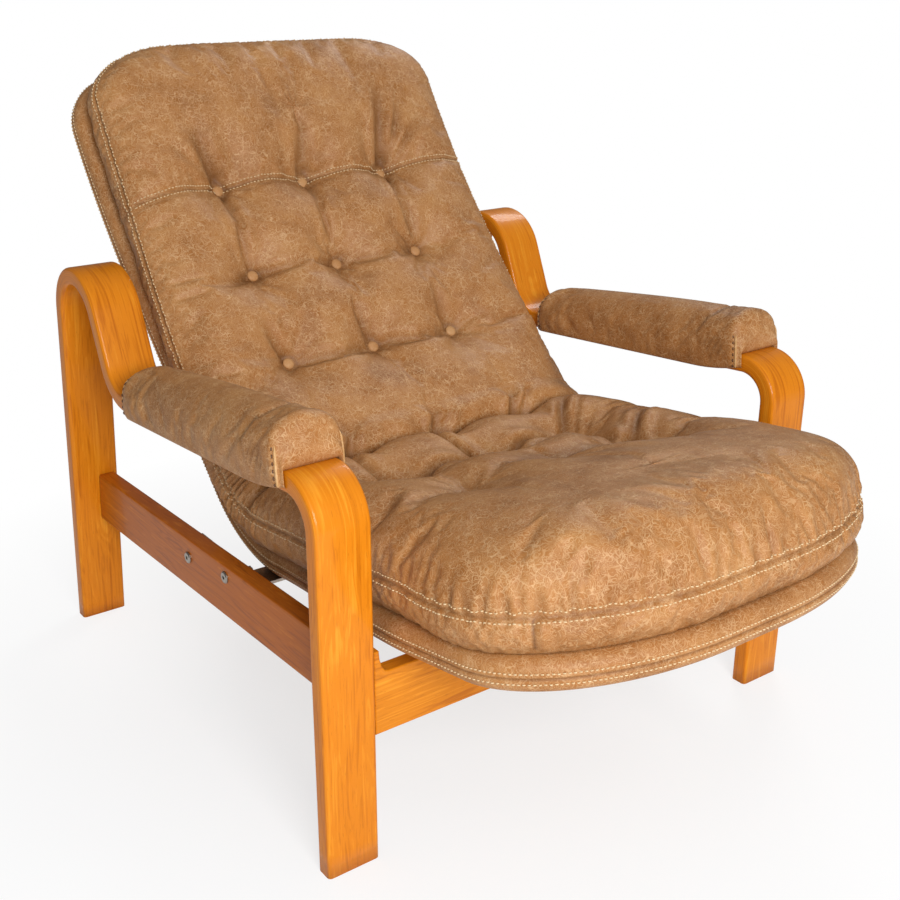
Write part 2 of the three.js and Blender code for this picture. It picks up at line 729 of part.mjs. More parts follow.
// Dowels between a cross rail and the frames' inner faces, on one side.
function crossDowels(side) {
  const list = [];
  const direction = new THREE.Vector3(-side, 0, 0);
  const startX = side * (innerFaceX + half(CROSS_DOWEL_LENGTH));
  const backFoot = profileAt(backRailContact).z
    - (BACK_RAIL_HEIGHT - BACK_RAIL_BEVEL_RISE);
  const rows = [
    ['front', 'lower', frontRailFoot + CROSS_DOWEL_MARGIN],
    ['front', 'upper', railMidZ(legBack) - CROSS_DOWEL_DROP],
    ['back', 'lower', backFoot + CROSS_DOWEL_MARGIN],
    ['back', 'upper', backFoot + CROSS_DOWEL_MARGIN + CROSS_DOWEL_SPACING],
  ];
  for (const [where, label, z] of rows) {
    const frontY = half(FRONT_RAIL_SETBACK + frontRailBack);
    const y = where === 'front' ? frontY : rearLegY(z, 0);
    list.push({
      name: `cross_dowel_${where}_${label}`,
      start: new THREE.Vector3(startX, y, z),
      direction,
    });
  }
  return list;
}

// Connector bolts through the side rails and the shell brackets
// Lowest place of the shell's underside, where the brackets carry it.
const lowest = profileAt(SEAT_RUN + HIP_RADIUS * seatFall);

function boltBody(side, y, z) {
  const inward = new THREE.Vector3(-side, 0, 0);
  const nutEnd = flangeInnerX - FIT_GAP - NUT_HEIGHT;
  const face = railOuterX + FIT_GAP;
  const length = face - nutEnd + BOLT_END_PAST_NUT;
  const rim = half(half(BOLT_HEAD_HEIGHT));
  const profile = [[0, -BOLT_HEAD_HEIGHT], [BOLT_HEAD_RADIUS - 2 * rim, -BOLT_HEAD_HEIGHT],
    [BOLT_HEAD_RADIUS, -BOLT_HEAD_HEIGHT + 2 * rim], [BOLT_HEAD_RADIUS, 0],
    [BOLT_RADIUS, 0], [BOLT_RADIUS, length - rim], [BOLT_RADIUS - rim, length], [0, length]];
  const start = new THREE.Vector3(side * face, y, z);
  const outer = start.clone().addScaledVector(inward, -BOLT_HEAD_HEIGHT - CUT_OVERRUN);
  const socket = rod(outer, inward, CUT_OVERRUN + BOLT_SOCKET_DEPTH, BOLT_SOCKET_RADIUS, 6);
  return cut(turned(profile, start, inward, 16), [socket]);
}

function nutBody(side, y, z) {
  const inward = new THREE.Vector3(-side, 0, 0);
  const start = new THREE.Vector3(side * (flangeInnerX - FIT_GAP), y, z);
  const profile = [[0, 0], [NUT_RADIUS - NUT_CHAMFER, 0], [NUT_RADIUS, NUT_CHAMFER],
    [NUT_RADIUS, NUT_HEIGHT - NUT_CHAMFER], [NUT_RADIUS - NUT_CHAMFER, NUT_HEIGHT],
    [0, NUT_HEIGHT]];
  const lead = start.clone().addScaledVector(inward, -CUT_OVERRUN);
  const bore = rod(lead, inward, NUT_HEIGHT + 2 * CUT_OVERRUN, BOLT_RADIUS + FIT_GAP, 12);
  return cut(turned(profile, start, inward, 6), [bore]);
}

function boltHole(side, y, z) {
  const inward = new THREE.Vector3(-side, 0, 0);
  const start = new THREE.Vector3(side * (railOuterX + CUT_OVERRUN), y, z);
  const length = RAIL_THICKNESS + BRACKET_THICKNESS + 2 * CUT_OVERRUN;
  return rod(start, inward, length, BOLT_RADIUS + FIT_GAP, 12);
}

// Screw places of one bracket: start under the flange, direction up.
function bracketScrews(side) {
  const up = new THREE.Vector3(0, 0, 1);
  const x = side * (flangeInnerX - BRACKET_FLANGE + BRACKET_SCREW_EDGE);
  const z = bracketTop - BRACKET_THICKNESS - FIT_GAP;
  return [['rear', half(BRACKET_SCREW_SPACING)], ['front', -half(BRACKET_SCREW_SPACING)]]
    .map(([label, run]) => ({
      name: `bracket_screw_${label}`,
      start: new THREE.Vector3(x, lowest.y + run, z),
      direction: up,
      length: BRACKET_SCREW_LENGTH,
    }));
}

// An angle of steel: a plate along the rail and a shorter foot under the shell.
function bracketBody(side, drills) {
  const rear = BOLT_REAR_Y + BRACKET_END_MARGIN;
  const front = BOLT_REAR_Y - BOLT_SPACING - BRACKET_END_MARGIN;
  const top = boltRearZ + BOLT_FRONT_RISE + BRACKET_TOP_MARGIN;
  const low = bracketTop - BRACKET_THICKNESS;
  const plate = new THREE.BoxGeometry(BRACKET_THICKNESS, rear - front, top - low);
  plate.translate(side * half(flangeOuterX + flangeInnerX), half(rear + front), half(top + low));
  const reach = BRACKET_FLANGE + half(BRACKET_THICKNESS);
  const run = BRACKET_SCREW_SPACING + 2 * BRACKET_SCREW_EDGE;
  const foot = new THREE.BoxGeometry(reach, run, BRACKET_THICKNESS);
  foot.translate(side * (flangeInnerX + half(BRACKET_THICKNESS) - half(reach)),
    lowest.y, half(low + bracketTop));
  return cut(toGeometry(toSolid(plate).add(toSolid(foot))), drills);
}

function screwBody(start, direction, length) {
  const profile = [[0, -SCREW_HEAD_HEIGHT], [half(SCREW_HEAD_RADIUS), -SCREW_HEAD_HEIGHT],
    [SCREW_HEAD_RADIUS, -half(SCREW_HEAD_HEIGHT)], [SCREW_HEAD_RADIUS, 0],
    [SCREW_RADIUS, 0], [SCREW_RADIUS, length - 2 * SCREW_RADIUS], [0, length]];
  return turned(profile, start, direction, 12);
}

// Screws through the back rail, square to the shell's back.
function backScrews() {
  const station = backRailContact + BACK_SCREW_DROP;
  const out = outOfProfile(station);
  const tip = coreHigh - half(CORE_THICKNESS);
  return [['left', 1], ['right', -1]].map(([label, side]) => ({
    name: `back_rail_screw_${label}`,
    start: onProfile(side * half(BACK_SCREW_SPREAD), station, tip - BACK_SCREW_LENGTH),
    direction: out,
    length: BACK_SCREW_LENGTH,
  }));
}

function counterbore(screw) {
  const back = CUT_OVERRUN + 2 * BACK_RAIL_THICKNESS;
  const start = screw.start.clone().addScaledVector(screw.direction, FIT_GAP);
  return rod(start, screw.direction.clone().negate(), back, SCREW_HEAD_RADIUS + FIT_GAP, 16);
}

// Cushion
const cushionLow = SHELL_THICKNESS + FIT_GAP;
const column = BUTTON_COLUMN_SPACING;

const columns = [['left', column], ['centre', 0], ['right', -column]];
const tufts = [];
for (const [row, s] of [['head', headRow], ['middle', middleRow], ['lumbar', lumbarRow]]) {
  for (const [label, x] of columns) {
    tufts.push({
      name: `button_${row}_${label}`, x, s, depth: TUFT_DEPTH_BACK, spread: TUFT_SPREAD_BACK,
    });
  }
}
for (const [label, x] of columns) {
  tufts.push({
    name: `button_seat_${label}`, x, s: SEAT_ROW, depth: TUFT_DEPTH_SEAT,
    spread: TUFT_SPREAD_SEAT,
  });
}

// Sewn tufts without a button: along the hip fold and ahead of the seat row.
const dimpleDepths = [DIMPLE_DEPTH_LEFT, DIMPLE_DEPTH_CENTRE, DIMPLE_DEPTH_RIGHT];
const plainTufts = columns.flatMap(([, x], place) => [
  { x, s: hipFold - FOLD_ROW_AHEAD, depth: TUFT_DEPTH_FOLD, spread: TUFT_SPREAD_BACK },
  { x, s: DIMPLE_ROW, depth: dimpleDepths[place], spread: TUFT_SPREAD_SEAT },
]);

// Crown along the cushion, eased between the named heights.
const crownKnots = [
  [CUSHION_FRONT_ROLL, CROWN_FRONT], [SEAT_CROWN_STATION, CROWN_MID_SEAT],
  [hipFold, CROWN_HIP], [lumbarRow, CROWN_LUMBAR], [middleRow, CROWN_BACK],
  [headRow, CROWN_BACK], [cushionLength - CUSHION_HEAD_ROLL, CROWN_HEAD],
];

const bandAt = (s) => easedBetween(
  [[SEAT_CROWN_STATION, CUSHION_BAND_SEAT], [lumbarRow, CUSHION_BAND_BACK]], s);

function bell(distance, spread) {
  return Math.exp(-Math.pow(distance / spread, 2));
}

// Height of the cushion's face above the shell at x and s.
function cushionFace(x, s) {
  const across = Math.min(Math.abs(x) / cushionWidthAt(s), 1);
  const side = Math.sqrt(1 - Math.pow(across, SIDE_SQUARENESS));
  const ease = (distance, roll) => {
    const share = Math.min(Math.max(distance / roll, 0), 1);
    return Math.sqrt(1 - Math.pow(1 - share, 2));
  };
  const ends = ease(s, CUSHION_FRONT_ROLL) * ease(cushionLength - s, CUSHION_HEAD_ROLL);
  let dip = HIP_FOLD_DEPTH * bell(s - hipFold, HIP_FOLD_SPREAD);
  dip += HEAD_SEAM_DEPTH * bell(s - headRow, HEAD_SEAM_SPREAD);
  for (const tuft of tufts.concat(plainTufts)) {
    dip += tuft.depth * bell(Math.hypot(x - tuft.x, s - tuft.s), tuft.spread);
  }
  const crown = easedBetween(crownKnots, s) * side * ends;
  const deepest = CROWN_DIP_SHARE * crown + BAND_DIP_SHARE * bandAt(s) * side;
  return cushionLow + bandAt(s) + crown - Math.min(dip * side, deepest);
}

const TOP_SHARES = [1, 0.97, 0.9, 0.8, 0.68, 0.57, 0.476, 0.38, 0.27, 0.13, 0];
const BAND_SHARES = [0, 0.3, 0.7, 1];

function cushionSection(s) {
  const width = cushionWidthAt(s);
  const right = BAND_SHARES.map((share) => {
    const swell = CUSHION_BULGE * Math.sin(Math.PI * share);
    const drawn = CUSHION_DRAW_IN * Math.pow(1 - share, 2);
    return [width + swell - drawn, cushionLow + share * bandAt(s)];
  });
  const top = TOP_SHARES.slice(1).map((share) => {
    const x = share * width;
    return [x, cushionFace(x, s)];
  });
  const one = right.concat(top);
  const other = one.slice(0, -1).reverse().map(([x, n]) => [-x, n]);
  return one.concat(other);
}

function cushionStations() {
  const front = STATION_FRONT_SHARES.map((share) => share * CUSHION_FRONT_CORNER);
  const head = STATION_HEAD_SHARES.map((share) => cushionLength - share * CUSHION_HEAD_CORNER);
  return [...front, ...steps(CUSHION_FRONT_CORNER, DIMPLE_ROW, 4),
    ...steps(DIMPLE_ROW, SEAT_ROW, 4), ...steps(SEAT_ROW, hipStart, 4).slice(0, -1),
    ...curvedStations(4), ...head];
}

function cushionGeometry() {
  return loft(cushionStations().map((s) => ringAt(cushionSection(s), s)));
}

const BUTTON_DOME_SHARES = [[1, 0], [1, 0.35], [0.7, 0.84], [0, 1]];

// A covered button on a short sewn eye, seated on the tuft's bottom.
function buttonBody(tuft, cushion) {
  const out = outOfProfile(tuft.s);
  const origin = onProfile(tuft.x, tuft.s, cushionFace(tuft.x, tuft.s));
  const across = new THREE.Vector3(1, 0, 0);
  const along = new THREE.Vector3().crossVectors(out, across);
  const ray = new THREE.Raycaster();
  const rise = (radius) => {
    let highest = -Infinity;
    const points = 24;
    for (let i = 0; i < points; i += 1) {
      const turn = (degrees(360) * i) / points;
      const point = origin.clone().addScaledVector(across, radius * Math.cos(turn))
        .addScaledVector(along, radius * Math.sin(turn));
      const lead = CUSHION_FRONT_ROLL;
      ray.set(point.clone().addScaledVector(out, lead), out.clone().negate());
      const hit = ray.intersectObject(cushion, false)[0];
      highest = Math.max(highest, lead - hit.distance);
    }
    return highest;
  };
  const eyeFoot = rise(BUTTON_EYE_RADIUS) + FIT_GAP;
  const capFoot = Math.max(rise(BUTTON_RADIUS) + FIT_GAP, eyeFoot + BUTTON_EYE_HEIGHT);
  const start = origin.clone().addScaledVector(out, eyeFoot);
  const neck = capFoot - eyeFoot;
  const dome = BUTTON_DOME_SHARES.map(([across, up]) =>
    [across * BUTTON_RADIUS, neck + up * BUTTON_HEIGHT]);
  return turned([[0, 0], [BUTTON_EYE_RADIUS, 0], [BUTTON_EYE_RADIUS, neck], ...dome],
    start, out, 12);
}

// Arm pads: an inverted U of padded leather over the arm rail and a flap
const padHalf = half(STRIP_WIDTH) + FIT_GAP + PAD_WALL;
const armAlong = new THREE.Vector3(0, Math.cos(strip.armStart.heading),
  Math.sin(strip.armStart.heading));
const armUp = new THREE.Vector3(0, -armAlong.z, armAlong.y);
const armMiddle = new THREE.Vector3(0, strip.armStart.y, strip.armStart.z);

// A point over the arm rail: t along it, v above its middle line.
function overArm(x, t, v) {
  return armMiddle.clone().addScaledVector(armAlong, t).addScaledVector(armUp, v)
    .setX(x);
}

const PAD_END_SHARES = [0, 0.12, 0.35, 0.65, 1];
// The pad ends where the arm starts to bend down to the rear leg.
const padLength = ARM_RUN - PAD_START;

function padGeometry(centreX) {
  const low = -half(STRIP_THICKNESS) - FIT_GAP - FLAP_THICKNESS;
  const from = PAD_END_SHARES.map((share) => share * PAD_END_ROUND);
  const to = from.map((t) => padLength - t).reverse();
  const middle = [half(PAD_LIFT_RUN), PAD_LIFT_RUN, half(padLength)];
  const rings = from.concat(middle, to).map((t) => {
    const ends = Math.min(t, padLength - t) / PAD_END_ROUND;
    const share = Math.min(ends, 1);
    const swell = Math.sqrt(1 - Math.pow(1 - share, 2));
    const rise = PAD_FRONT_RISE + ((PAD_REAR_RISE - PAD_FRONT_RISE) * t) / padLength;
    const top = half(STRIP_THICKNESS) + rise * (1 - PAD_END_DROP_SHARE * (1 - swell));
    const wide = padHalf - half(PAD_WALL) * (1 - swell);
    const round = Math.min(PAD_TOP_ROUND, top - half(STRIP_THICKNESS) - FIT_GAP);
    const lift = PAD_FRONT_LIFT * Math.pow(1 - Math.min(t / PAD_LIFT_RUN, 1), 2);
    const edge = low + lift;
    const flat = [[-wide + half(PAD_WALL), edge], [wide - half(PAD_WALL), edge],
      [wide, edge + half(PAD_WALL)]];
    const pieces = 5;
    for (let i = 0; i <= pieces; i += 1) {
      const turn = (degrees(90) * i) / pieces;
      flat.push([wide - round + round * Math.cos(turn), top - round + round * Math.sin(turn)]);
    }
    flat.push([0, top + PAD_CROWN]);
    for (let i = pieces; i >= 0; i -= 1) {
      const turn = (degrees(90) * i) / pieces;
      flat.push([round - wide - round * Math.cos(turn), top - round + round * Math.sin(turn)]);
    }
    flat.push([-wide, edge + half(PAD_WALL)]);
    return flat.map(([x, v]) => {
      const point = overArm(centreX + x, PAD_START + t, v);
      point.u = x;
      point.v = v;
      return point;
    });
  });
  const slot = half(STRIP_WIDTH) + FIT_GAP;
  const slotTop = half(STRIP_THICKNESS) + FIT_GAP;
  const slotLow = low - CUT_OVERRUN;
  const tunnel = [-CUT_OVERRUN, padLength + CUT_OVERRUN].map((t) => [
    [-slot, slotLow], [slot, slotLow], [slot, slotTop], [-slot, slotTop]].map(([x, v]) => {
    const point = overArm(centreX + x, PAD_START + t, v);
    point.u = x;
    point.v = v;
    return point;
  }));
  return cut(loft(rings), [loft(tunnel)]);
}

function flapGeometry(centreX) {
  const high = -half(STRIP_THICKNESS) - FIT_GAP;
  const low = high - FLAP_THICKNESS;
  const side = half(STRIP_WIDTH);
  const rings = [PAD_LIFT_RUN, padLength - PAD_END_ROUND].map((t) => [
    [-side, low], [side, low], [side, high], [-side, high]].map(([x, v]) => {
    const point = overArm(centreX + x, PAD_START + t, v);
    point.u = x;
    point.v = v;
    return point;
  }));
  return loft(rings);
}

// Assembly
const crossHoles = [];
const shellHoles = [];
const backHoles = [];

for (const [label, side] of [['left', 1], ['right', -1]]) {
  const railDowels = sideDowels(side);
  const ties = crossDowels(side);
  const frameHoles = [];
  const railHoles = [];
  for (const { name, start, direction } of railDowels) {
    place(`${name}_${label}`, dowel(start, direction, DOWEL_LENGTH, DOWEL_RADIUS), dowelBeech());
    const hole = dowelHole(start, direction, DOWEL_LENGTH, DOWEL_RADIUS);
    frameHoles.push(hole);
    railHoles.push(hole);
  }
  for (const { name, start, direction } of ties) {
    place(`${name}_${label}`, dowel(start, direction, CROSS_DOWEL_LENGTH, CROSS_DOWEL_RADIUS),
      dowelBeech());
    const hole = dowelHole(start, direction, CROSS_DOWEL_LENGTH, CROSS_DOWEL_RADIUS);
    frameHoles.push(hole);
    (name.includes('front') ? crossHoles : backHoles).push(hole);
  }
  const bracketHoles = [];
  for (const [where, y, z] of boltPlaces) {
    place(`rail_bolt_${where}_${label}`, boltBody(side, y, z), steel());
    place(`rail_nut_${where}_${label}`, nutBody(side, y, z), steel());
    const hole = boltHole(side, y, z);
    railHoles.push(hole);
    bracketHoles.push(hole);
  }
  for (const { name, start, direction, length } of bracketScrews(side)) {
    place(`${name}_${label}`, screwBody(start, direction, length), steel());
    const hole = screwHole(start, direction, length + DOWEL_END_PLAY);
    bracketHoles.push(hole);
    shellHoles.push(hole);
  }
  const frame = board(stripOutline(), STRIP_WIDTH, STRIP_EDGE_ROUND, side * frameCentreX);
  place(`side_frame_${label}`, cut(frame, frameHoles), beech());
  const rail = board(sideRailOutline(), RAIL_THICKNESS, RAIL_EDGE_ROUND, side * railCentreX);
  place(`side_rail_${label}`, cut(rail, railHoles), railBeech());
  place(`shell_bracket_${label}`, bracketBody(side, bracketHoles), steel());
  place(`arm_pad_${label}`, padGeometry(side * frameCentreX), leather());
  place(`arm_pad_flap_${label}`, flapGeometry(side * frameCentreX), leather());
}

for (const screw of backScrews()) {
  place(screw.name, screwBody(screw.start, screw.direction, screw.length), steel());
  const hole = screwHole(screw.start, screw.direction, screw.length + DOWEL_END_PLAY);
  backHoles.push(hole, counterbore(screw));
  shellHoles.push(screwHole(screw.start, screw.direction, screw.length + DOWEL_END_PLAY));
}

frontRail(crossHoles);
const backRail = board(backRailOutline(), 2 * crossHalf, FIT_GAP, 0, 1);
place('back_cross_rail', cut(backRail, backHoles), railBeech());
shellPieces(shellHoles);
const cushion = place('main_cushion', cushionGeometry(), leather());
for (const tuft of tufts) {
  place(tuft.name, buttonBody(tuft, cushion), leather());
}

// Origin under the middle of the whole chair, on the floor
const box = new THREE.Box3().setFromObject(chair);
const centre = box.getCenter(new THREE.Vector3());
chair.position.set(-centre.x, -centre.y, -box.min.z);

export default chair;
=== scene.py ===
"""Looks of a cantilever lounge chair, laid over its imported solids.

Two bent beech frames carry a curved shell, covered in leather, with one long
buttoned cushion on it and a leather pad on each arm. Sizes are millimetres in
the chair's own space: y = 0 is the front face of the front legs, +Z is up and
the chair faces -Y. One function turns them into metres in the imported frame.
"""

import json
import logging
import math
from dataclasses import dataclass, field
from enum import Enum
from functools import partial
from typing import Any, Sequence

import bmesh
import bpy
import numpy as np
from mathutils import Matrix, Vector
from mathutils.bvhtree import BVHTree

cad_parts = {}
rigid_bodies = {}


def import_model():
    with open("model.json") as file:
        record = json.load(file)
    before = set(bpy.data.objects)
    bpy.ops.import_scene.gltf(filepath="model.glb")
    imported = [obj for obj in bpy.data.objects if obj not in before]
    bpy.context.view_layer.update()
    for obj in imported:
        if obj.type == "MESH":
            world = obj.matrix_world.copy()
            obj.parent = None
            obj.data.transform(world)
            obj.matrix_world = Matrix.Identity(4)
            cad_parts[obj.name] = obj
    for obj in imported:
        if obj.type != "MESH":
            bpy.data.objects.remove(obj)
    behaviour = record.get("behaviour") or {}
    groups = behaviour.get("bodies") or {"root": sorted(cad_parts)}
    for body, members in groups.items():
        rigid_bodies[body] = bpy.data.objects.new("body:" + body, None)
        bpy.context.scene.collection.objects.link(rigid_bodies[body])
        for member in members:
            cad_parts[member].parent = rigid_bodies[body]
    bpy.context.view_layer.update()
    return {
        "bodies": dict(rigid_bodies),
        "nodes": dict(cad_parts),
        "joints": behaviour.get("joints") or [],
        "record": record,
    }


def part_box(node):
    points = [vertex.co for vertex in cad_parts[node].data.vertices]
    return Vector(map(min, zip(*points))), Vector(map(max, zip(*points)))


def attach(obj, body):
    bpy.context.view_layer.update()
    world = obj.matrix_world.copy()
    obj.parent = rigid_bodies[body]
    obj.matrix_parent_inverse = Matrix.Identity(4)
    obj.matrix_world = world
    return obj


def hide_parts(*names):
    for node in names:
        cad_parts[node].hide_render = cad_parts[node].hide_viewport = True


LOG = logging.getLogger("lounge_chair")
MM = 0.001
BODY = "root"
SIDES = (("left", 1.0), ("right", -1.0))


# ---------------------------------------------------------------- small tools


def linear(code: str, alpha: float = 1.0) -> tuple[float, float, float, float]:
    """Turn an sRGB hex colour into Blender's linear colour.

    Args:
        code: the colour as '#rrggbb'.
        alpha: the fourth value.

    Returns:
        Red, green, blue and alpha, linear.
    """
    values = [int(code[i : i + 2], 16) / 255 for i in (1, 3, 5)]
    red, green, blue = (v / 12.92 if v <= 0.04045 else ((v + 0.055) / 1.055) ** 2.4
        for v in values)
    return (red, green, blue, alpha)


def add_node(tree: bpy.types.NodeTree, kind: str, feeds: dict[Any, Any] | None = None,
    out: int | str | None = 0, **settings: Any) -> Any:
    """Add a node with its settings, values and links.

    Args:
        tree: the node tree.
        kind: the node's type name, without its ShaderNode.
        feeds: what goes into each input, by name or index: a socket is linked
            and anything else is set as the value.
        out: which output is handed back.
        **settings: attributes of the node; stops fills a colour ramp.

    Returns:
        The output, or the node where out is None.
    """
    made = tree.nodes.new("ShaderNode" + kind)
    stops = settings.pop("stops", ())
    for _ in stops[2:]:
        made.color_ramp.elements.new(0.5)
    for i, (position, colour) in enumerate(stops):
        made.color_ramp.elements[i].position = position
        made.color_ramp.elements[i].color = colour
    for name, value in settings.items():
        setattr(made, name, value)
    for name, value in (feeds or {}).items():
        if isinstance(value, bpy.types.NodeSocket):
            tree.links.new(value, made.inputs[name])
        else:
            made.inputs[name].default_value = value
    return made if out is None else made.outputs[out]


def blank(kinds: Any, name: str) -> tuple[Any, Any]:
    """Make an empty material or world.

    Args:
        kinds: where Blender keeps things of its kind.
        name: its name.

    Returns:
        It, and what adds a node to it.
    """
    made = kinds.new(name)
    made.use_nodes = True
    made.node_tree.nodes.clear()
    return made, partial(add_node, made.node_tree)


def eased(knots: Sequence[tuple[float, float]], s: np.ndarray) -> np.ndarray:
    """Smooth steps between named values at named stations.

    Args:
        knots: pairs of station and value, in order.
        s: the stations asked for.

    Returns:
        The value at each station.
    """
    value = np.full_like(s, knots[0][1], dtype=float)
    for (start, low), (end, high) in zip(knots, knots[1:]):
        t = np.clip((s - start) / (end - start), 0, 1)
        value = np.where(s > start, low + (high - low) * t * t * (3 - 2 * t), value)
    return value


def bell(distance: np.ndarray, spread: float) -> np.ndarray:
    """A soft bell that is 1 at no distance."""
    return np.exp(-((distance / spread) ** 2))


def grid_faces(rows: int, columns: int, closed: bool) -> np.ndarray:
    """Quads of a grid of points stored row by row.

    Args:
        rows: number of rows.
        columns: points in a row.
        closed: whether each row joins up with its own start.

    Returns:
        Indices, four to a face.
    """
    across = columns if closed else columns - 1
    r, c = np.meshgrid(np.arange(rows - 1), np.arange(across), indexing="ij")
    d = (c + 1) % columns
    return np.stack([r * columns + c, r * columns + d, (r + 1) * columns + d,
        (r + 1) * columns + c], -1).reshape(-1, 4)


def grid_normals(grid: np.ndarray) -> np.ndarray:
    """Directions out of a grid of points whose rows close on themselves.

    Args:
        grid: points as rows by columns by 3.

    Returns:
        Unit directions of the same shape.
    """
    along = np.roll(grid, -1, 1) - np.roll(grid, 1, 1)
    up = np.gradient(grid, axis=0)
    out = np.cross(along, up)
    return out / np.maximum(np.linalg.norm(out, axis=2, keepdims=True), 1e-9)


def unit(arrows: np.ndarray) -> np.ndarray:
    """The same directions, one long."""
    return arrows / np.linalg.norm(arrows, axis=-1, keepdims=True)


def walk_along(path: np.ndarray) -> np.ndarray:
    """Distance walked at each point of a path."""
    return np.concatenate([[0], np.cumsum(np.linalg.norm(np.diff(path, axis=0), axis=1))])


def resampled(path: np.ndarray, walked: np.ndarray, at: np.ndarray) -> np.ndarray:
    """Places on a path.

    Args:
        path: its points.
        walked: the distance walked at each.
        at: the distances asked for.

    Returns:
        A point for each.
    """
    return np.stack([np.interp(at, walked, column) for column in path.T], -1)


def tubed(middles: np.ndarray, side: np.ndarray, up: np.ndarray, girths: np.ndarray,
    sides: int) -> np.ndarray:
    """Rings of points round places.

    Args:
        middles: the places, last axis 3.
        side: direction across at each.
        up: direction up at each.
        girths: radius at each, or at each of a row.
        sides: points in a ring.

    Returns:
        One more axis than middles, with a ring at each place.
    """
    turn = 2 * math.pi * np.arange(sides) / sides
    ring = (np.cos(turn)[:, None] * side[..., None, :] + np.sin(turn)[:, None] * up[..., None, :])
    return middles[..., None, :] + ring * girths[..., None, None]


def soft_noise(points: np.ndarray, size: float, seed: int, waves: int = 28) -> np.ndarray:
    """Smooth seeded unevenness from many long waves.

    Args:
        points: places, last axis 3.
        size: rough size of a hump, in the unit of points.
        seed: picks the waves.
        waves: how many are added up.

    Returns:
        Values mostly from -1 to 1.
    """
    rng = np.random.default_rng(seed)
    total = np.zeros(points.shape[:-1])
    for _ in range(waves):
        direction = rng.normal(size=3)
        direction /= np.linalg.norm(direction)
        pitch = size * rng.uniform(0.7, 1.6)
        total += np.sin(points @ direction * (2 * math.pi / pitch / 2) + rng.uniform(0, 6.28))
    return total / math.sqrt(waves)


def doubled(grid: np.ndarray) -> np.ndarray:
    """A grid whose rows close on themselves, with a row and column between each two.

    Args:
        grid: values as rows by columns, and maybe one more axis.

    Returns:
        The finer grid, passing smoothly through the same values.
    """
    nearer = np.roll(grid, -1, 1) + grid
    further = np.roll(grid, 1, 1) + np.roll(grid, -2, 1)
    wide = np.empty((grid.shape[0], 2 * grid.shape[1]) + grid.shape[2:])
    wide[:, 0::2] = grid
    wide[:, 1::2] = (9 * nearer - further) / 16
    padded = np.concatenate([wide[:1], wide, wide[-1:]])
    between = (9 * (wide[1:] + wide[:-1]) - padded[:-3] - padded[3:]) / 16
    fine = np.empty((2 * grid.shape[0] - 1,) + wide.shape[1:])
    fine[0::2] = wide
    fine[1::2] = between
    return fine


@dataclass(frozen=True)
class CoverSlack:
    """A leather cover sewn a little too large, puffed up by its filling."""

    pressure: float = 4.0
    slack: float = 0.03  # how much larger the cover is
    frames: int = 16
    cap: float = 24.0  # mm, the furthest a point may move
    bending: float = 0.4

    def settle(self, points: np.ndarray, faces: Sequence[Sequence[int]],
        held: np.ndarray) -> np.ndarray:
        """Let Blender's cloth settle a closed cover.

        Args:
            points: the cover's points, in metres.
            faces: its faces.
            held: how firmly each point stays where it is, 0 to 1.

        Returns:
            Where the points come to rest.
        """
        keys = np.round(points / 2e-5).astype(np.int64)
        _, first, joined = np.unique(keys, axis=0, return_index=True, return_inverse=True)
        joined = joined.ravel()
        rings = []
        for face in faces:
            ring = [int(joined[i]) for i in face]
            ring = [a for a, b in zip(ring, ring[1:] + ring[:1]) if a != b]
            if len(ring) > 2 and len(set(ring)) == len(ring):
                rings.append(ring)
        start = points[first]
        mesh = bpy.data.meshes.new("cover")
        mesh.from_pydata(start.tolist(), [], rings)
        work = bmesh.new()
        work.from_mesh(mesh)
        bmesh.ops.recalc_face_normals(work, faces=work.faces)
        work.to_mesh(mesh)
        work.free()
        cover = bpy.data.objects.new("cover", mesh)
        scene = bpy.context.scene
        scene.collection.objects.link(cover)
        firm = np.zeros(len(start))
        np.maximum.at(firm, joined, held)
        group = cover.vertex_groups.new(name="held")
        levels = np.round(firm * 20).astype(int)
        for level in range(21):
            group.add(np.nonzero(levels == level)[0].tolist(), level / 20, "REPLACE")
        cloth = cover.modifiers.new("cover", "CLOTH")
        settings = cloth.settings
        settings.quality = 5
        settings.tension_stiffness = 15
        settings.compression_stiffness = settings.shear_stiffness = 5
        settings.bending_stiffness = self.bending
        settings.use_pressure = True
        settings.uniform_pressure_force = self.pressure
        settings.effector_weights.gravity = 0
        settings.vertex_group_mass = "held"
        settings.shrink_min = settings.shrink_max = -self.slack
        cloth.collision_settings.use_collision = False
        cloth.collision_settings.use_self_collision = False
        cloth.point_cache.frame_start, cloth.point_cache.frame_end = 1, self.frames
        for frame in range(1, self.frames + 1):
            scene.frame_set(frame)
        shown = cover.evaluated_get(bpy.context.evaluated_depsgraph_get())
        rest = np.empty(3 * len(start))
        shown.data.vertices.foreach_get("co", rest)
        moved = rest.reshape(-1, 3) - start
        far = np.linalg.norm(moved, axis=1, keepdims=True)
        cap = self.cap * MM
        moved *= cap * np.tanh(far / cap) / np.maximum(far, 1e-9)
        scene.frame_set(1)
        bpy.data.objects.remove(cover)
        bpy.data.meshes.remove(mesh)
        LOG.info("cover settled: most moved %.1f mm", float(far.max()) / MM)
        return (start + moved)[joined]


@dataclass(frozen=True)
class Datum:
    """Where the chair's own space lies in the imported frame."""

    front_face: float  # metres, y of the front legs' front face

    def room(self, points: np.ndarray) -> np.ndarray:
        """Millimetres of the chair's own space to metres of the frame."""
        return np.asarray(points, dtype=float) * MM + np.array([0.0, self.front_face, 0.0])

    def own(self, place: Vector) -> np.ndarray:
        """A place in metres of the frame to millimetres of the chair's own space."""
        return (np.array(place) - np.array([0.0, self.front_face, 0.0])) / MM


